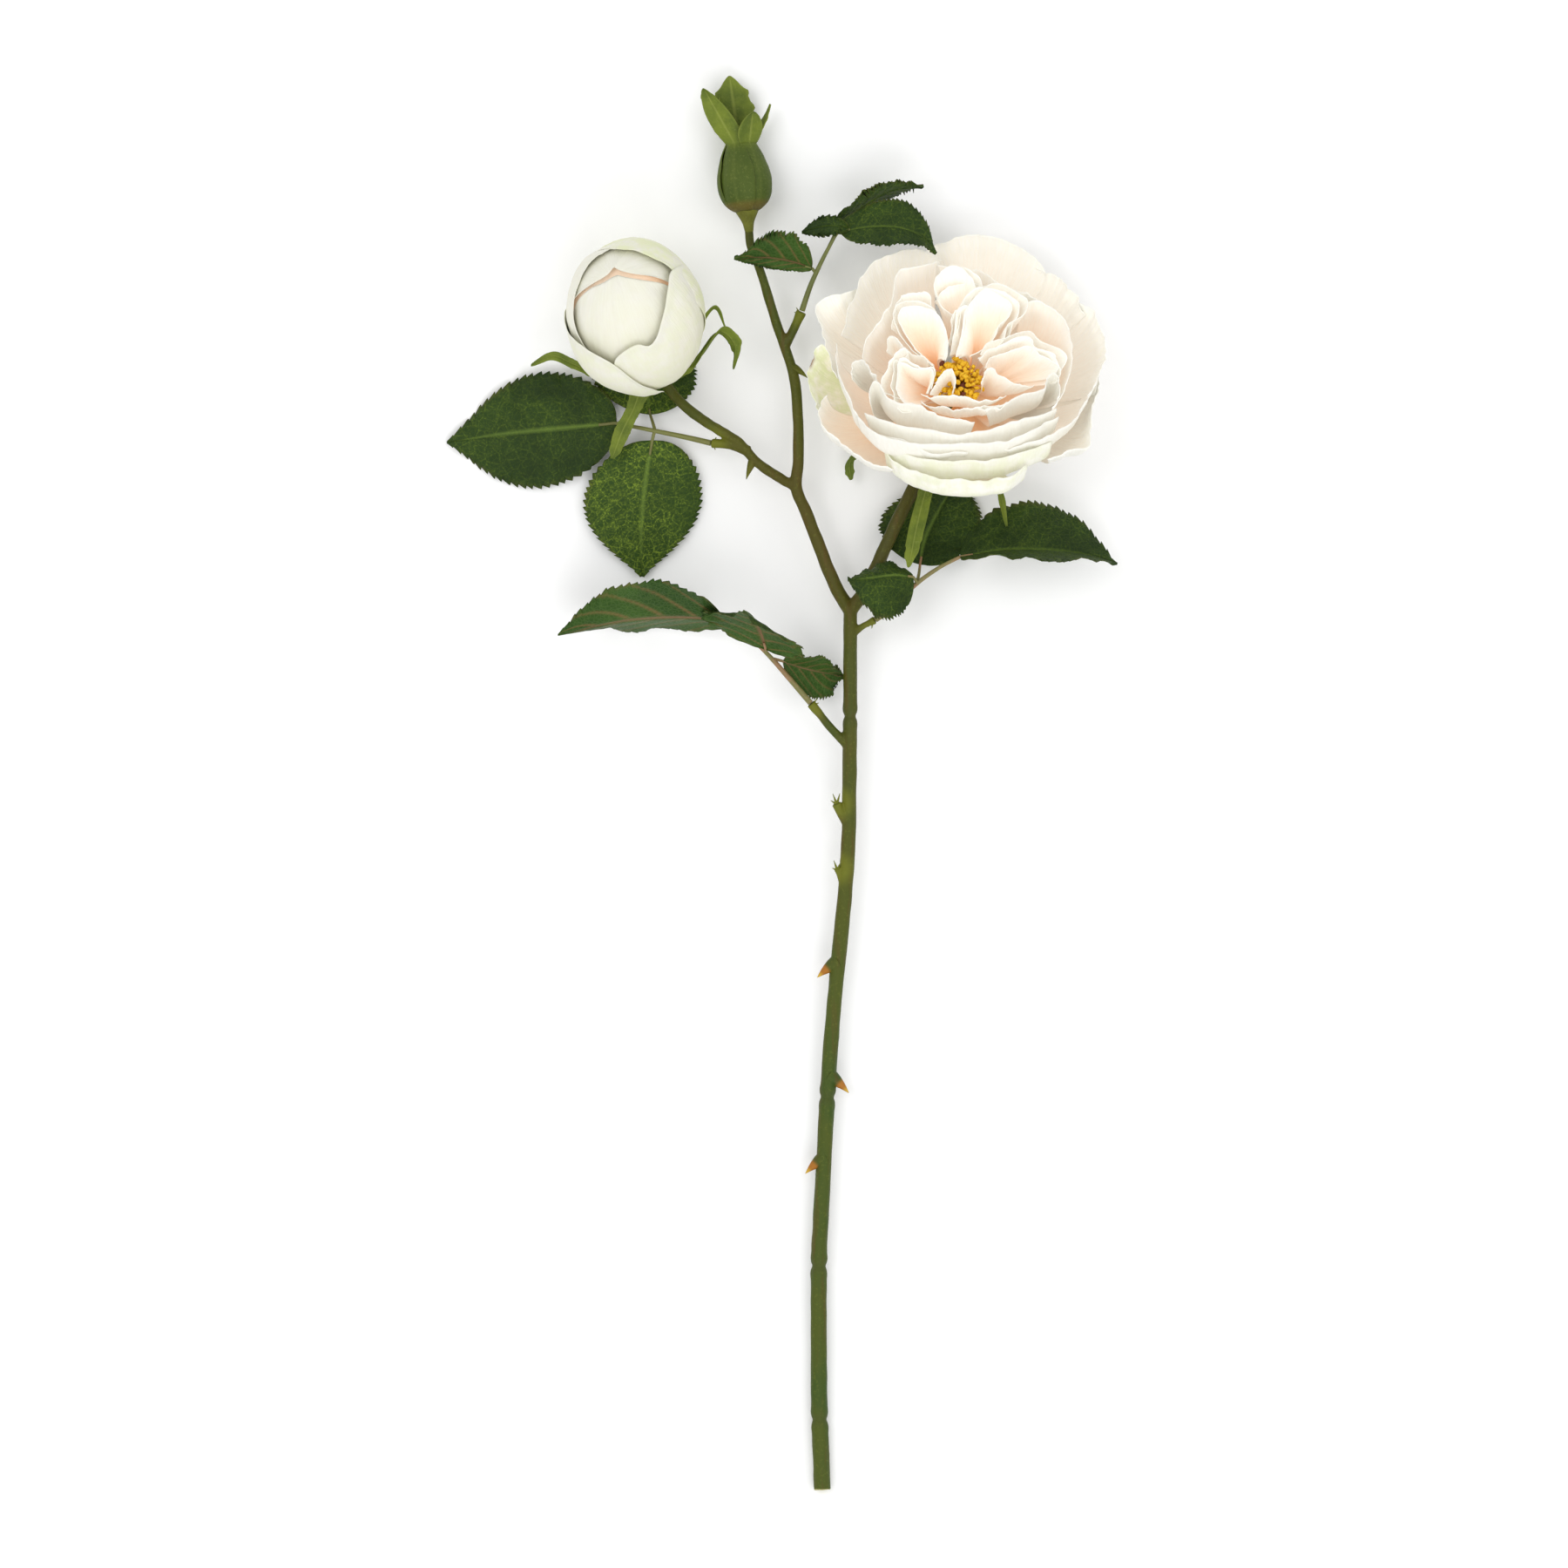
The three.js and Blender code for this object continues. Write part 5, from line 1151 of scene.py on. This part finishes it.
for number, (name, (layer, node, options, points)) in enumerate(BLOOM_PETALS.items()):
    rim = rim_of(points)
    middle = curve(rim, 3)[1]
    out, low = LAYERS[layer]
    angle = math.atan2(middle[1], middle[0])
    settings = {"root": (out * math.cos(angle), out * math.sin(angle), low), "seed": number, **options}
    if layer == "heart":
        # Heart petals take more peach, partly their own tint and partly painted warm shade, and less painted
        # shade on their outsides.
        settings = {"bowl": 1.7, "rise": 1.25, "narrow": 0.4, "lip": 0.7, "warm": 0.6, "belly": 0.0,
                    "ruffle": 0.7, "back_shade": 0.15, **settings}
    piece(f"petal_{name}", petal(rim, **settings), PETAL, "petal", *([node] if node else []))

# The half-open flower: petals wrapped round a closed body. Each has how far it swells out below
# its rim, the angles its root spans, and its rim as (angle, latitude, how far it stands out).
HALF_OPEN_PETALS = [
    (0.0, (227, 317), [(190, 18, 0), (195, 42, 0), (208, 62, 0), (238, 76, 0), (268, 80.5, 0), (300, 79, 0),
                       (325, 68, 0), (346, 45, 0), (354, 18, 0)]),
    (0.3, (150, 10), [(188, 24, 0.8), (193, 46, 0.9), (207, 65.5, 1.0), (236, 80, 1.2), (268, 86.5, 1.4),
                      (302, 85.5, 1.4), (327, 73, 1.2), (347, 52, 1.0), (354, 26, 0.8)]),
    (0.8, (198, 104), [(236, -4, 1.4), (226, 14, 1.4), (212, 25, 1.4), (198, 38, 1.5), (184, 52, 1.8),
                       (165, 63, 2.4), (135, 71, 2.9), (100, 70, 2.6), (66, 58, 2.1)]),
    (2.2, (103, 23), [(136, 42, 2.6), (116, 62, 3.0), (88, 74, 3.6), (58, 75, 3.6), (34, 69, 3.2),
                      (14, 57, 2.9), (4, 41, 3.0), (-10, 26, 3.0)], 0.9, 0.75),
    (0.6, (355, 283), [(384, 26, 3.6), (358, 43, 3.6), (336, 42, 3.2), (312, 31, 3.0), (297, 21, 3.2),
                       (289, 18.5, 3.2), (280, 22, 2.8), (267, 19, 2.6), (256, 11, 2.7), (253, -4, 2.9),
                       (254, -24, 3.0)], 0.8, 0.3),
    (1.6, (254, 178), [(286, -38, 2.6), (272, -16, 3.2), (254, 10, 3.6), (230, 19, 4.0), (214, 20, 3.6),
                       (198, 16, 2.8), (172, 12, 2.8), (146, -8, 3.0)], 0.8, 0.35),
    (0.0, (140, 40), [(196, 30, -1.6), (212, 50, -1.4), (240, 66, -1.2), (270, 70, -1.2), (300, 68, -1.2),
                      (326, 52, -1.4), (344, 30, -1.6)]),
]
WRAP_RADIUS, WRAP_HALF_LENGTH, WRAP_MIDDLE = HALF_OPEN_RADIUS - 3, HALF_OPEN_HALF_LENGTH + 1, -3


def heading(angle, latitude):
    """Unit vectors towards angles and latitudes, in degrees."""
    a, b = np.broadcast_arrays(np.radians(angle), np.radians(latitude))
    return np.stack([np.cos(b) * np.cos(a), np.cos(b) * np.sin(a), np.sin(b)], -1)


def wrapped_petal(number, swell, roots, rim, warm=0.55, green=0.12):
    """A petal that follows the body from its root to its rim by the shortest way."""
    nu, nv = 91, 61
    edge = curve(rim, nu)
    u, v = axes(nu, nv)
    latitude = edge[:, 1] + 0.7 * wave(u[:, 0] * 4, number + 60)
    end = heading(edge[:, 0], latitude)[:, None, :]
    start = heading(lerp(roots[0], roots[1], u[:, 0]), -60 - 1.5 * number)[:, None, :]
    gap = np.arccos(np.clip((start * end).sum(-1), -0.9999, 0.9999))
    near = (np.sin((1 - v) * gap) / np.sin(gap))[..., None]
    far = (np.sin(v * gap) / np.sin(gap))[..., None]
    way = start * near + end * far
    curl = ease(v, 0.88, 1.0) ** 2
    stand = edge[:, None, 2] * v + (0.35 + 0.1 * number) * (curl - 0.5 * v**6)
    stand = stand + swell * np.sin(np.pi * v**1.3) ** 1.2 * np.sin(np.pi * (0.1 + 0.8 * u))
    r = WRAP_RADIUS + stand
    height = WRAP_MIDDLE + (WRAP_HALF_LENGTH + stand) * way[..., 2]
    grid = half_open(r * way[..., 0], r * way[..., 1], height)
    crease = 0.12 * wave(u * 17, number + 70) + 0.45 * wave(u * 4 + v * 2, number + 71) * v
    made = sheet(grid, PETAL_THICKNESS, relief=crease, warm=warm, green=green, seed=number * 2.1 + 50)
    return with_outside(made)


for number, made in enumerate(HALF_OPEN_PETALS[:-1]):
    made = wrapped_petal(number, *made)
    piece(f"half_open_wrap_{number + 1}", made, BUD_PETAL, "bud_petal", f"half_open_petal_{number + 1}")

across, v = axes(161, 41)
h = lerp(-HALF_OPEN_HALF_LENGTH + 5, 21 - 3 * across, v) + 0.5 * wave(across * 9, 81) * v**3
turn = np.radians(200 + 430 * across) + 0 * v
r = lerp(4, 12.5, across) * (0.45 + 0.55 * np.sin(np.pi * (0.15 + 0.62 * v)))
made = sheet(half_open(r * np.cos(turn), r * np.sin(turn), h), PETAL_THICKNESS, warm=0.9, seed=90.0)
# The roll takes no painted shade on its outside.
made.values["outside"] = 0 * made.values["along"]
inner = wrapped_petal(6, *HALF_OPEN_PETALS[-1], warm=1.0, green=0.0)
# The inner petal's along is lowered on one side, so the finish gives it a root's stronger peach there:
# partly its own tint, partly painted warm shade in the slit. Like the roll, it takes no painted shade on its
# outside.
inner.values["along"] = inner.values["along"] * (1 - 0.5 * ease(inner.values["across"], 0.3, 0.6))
inner.values["outside"] = 0 * inner.values["along"]
piece("half_open_roll", [made, inner], PETAL, "bud_petal", "half_open_petal_rolled")

# ---- stamens ----
STAMEN_COUNT = 110
GOLDEN_ANGLE = 2.39996


def stamens():
    rng = np.random.default_rng(11)
    base = -BLOOM_DEPTH + 16.4
    dome = [(2.4, base), (5.2, base + 3), (5.8, base + 6), (3.4, base + 9), (0.6, base + 10)]
    parts = [turned(bloom, dome, 24, dark=0.5)]
    for k in range(STAMEN_COUNT):
        angle = k * GOLDEN_ANGLE
        reach = 1.2 + 8.6 * math.sqrt((k + 0.5) / STAMEN_COUNT)
        foot = (0.45 * reach * math.cos(angle), 0.45 * reach * math.sin(angle) - 1.0, base + 4)
        top = base + 19.5 - 0.45 * reach + rng.uniform(-1.5, 1.5)
        x = reach * math.cos(angle) + rng.uniform(-0.6, 0.6)
        y = reach * math.sin(angle) * 0.95 - 5.5 + rng.uniform(-0.6, 0.6)
        bend = (0.7 * x, 0.7 * y, (foot[2] + top) / 2 + 2)
        path = [tuple(bloom(*point)) for point in (foot, bend, (x, y, top))]
        parts.append(tube(path, 0.32, 8, 6, thread=0.7))
        way = unit(rng.normal(size=3) * (1, 1, 0.5))
        end = np.asarray(path[-1])
        size = rng.uniform(1.0, 1.7)
        anther = [end - way * size, end, end + way * size]
        dark = 1.0 if rng.random() < 0.06 else 0.0
        bulge = lambda t, s=size: 0.12 + 0.62 * s * math.sin(math.pi * min(max(t, 0.02), 0.98))
        parts.append(tube(anther, bulge, 8, 8, dark=dark))
    piece("stamen_tuft", parts, STAMEN, "stamen", "stamens")


stamens()

# ---- floor, light and camera ----
FLOOR_REACH = 4.0
LIT_POINT = (0, 0.05, 0)
SKY_STRENGTH = 0.84
VIEW_WIDTH = 0.612


def floor():
    f = Finish("studio_floor", roughness=0.85)
    grain = f.noise(30, 3.0)
    f.set("Base Color", f.mix(f.ramp(grain, 0.3, 0.7), srgb(250, 250, 250), srgb(252, 252, 252)))
    mesh = bpy.data.meshes.new("floor")
    corners = [(x * FLOOR_REACH, y * FLOOR_REACH, 0) for x, y in ((-1, -1), (1, -1), (1, 1), (-1, 1))]
    mesh.from_pydata(corners, [], [(0, 1, 2, 3)])
    mesh.materials.append(f.material)
    linked("floor", mesh)


def area_light(name, at, size, power):
    light = bpy.data.lights.new(name, "AREA")
    light.energy = power
    light.size = size
    made = linked(name, light)
    made.location = at
    made.rotation_euler = (Vector(LIT_POINT) - Vector(at)).to_track_quat("-Z", "Y").to_euler()


floor()
area_light("key", (-1.2, 0.6, 2.8), 1.4, 17)
area_light("front", (0.3, -1.8, 2.4), 1.8, 20)
area_light("fill", (1.5, 0.3, 2.2), 1.6, 8)
world = bpy.data.worlds.new("studio")
world.use_nodes = True
world.node_tree.nodes["Background"].inputs["Color"].default_value = (1, 1, 1, 1)
world.node_tree.nodes["Background"].inputs["Strength"].default_value = SKY_STRENGTH
bpy.context.scene.world = world
bpy.context.scene.view_settings.view_transform = "Standard"

lens = bpy.data.cameras.new("camera")
lens.lens = 600
lens.sensor_width = 36
lens.clip_end = 40
camera = linked("camera", lens)
camera.location = (0, 0, VIEW_WIDTH * lens.lens / lens.sensor_width)
bpy.context.scene.camera = camera

bpy.context.view_layer.update()
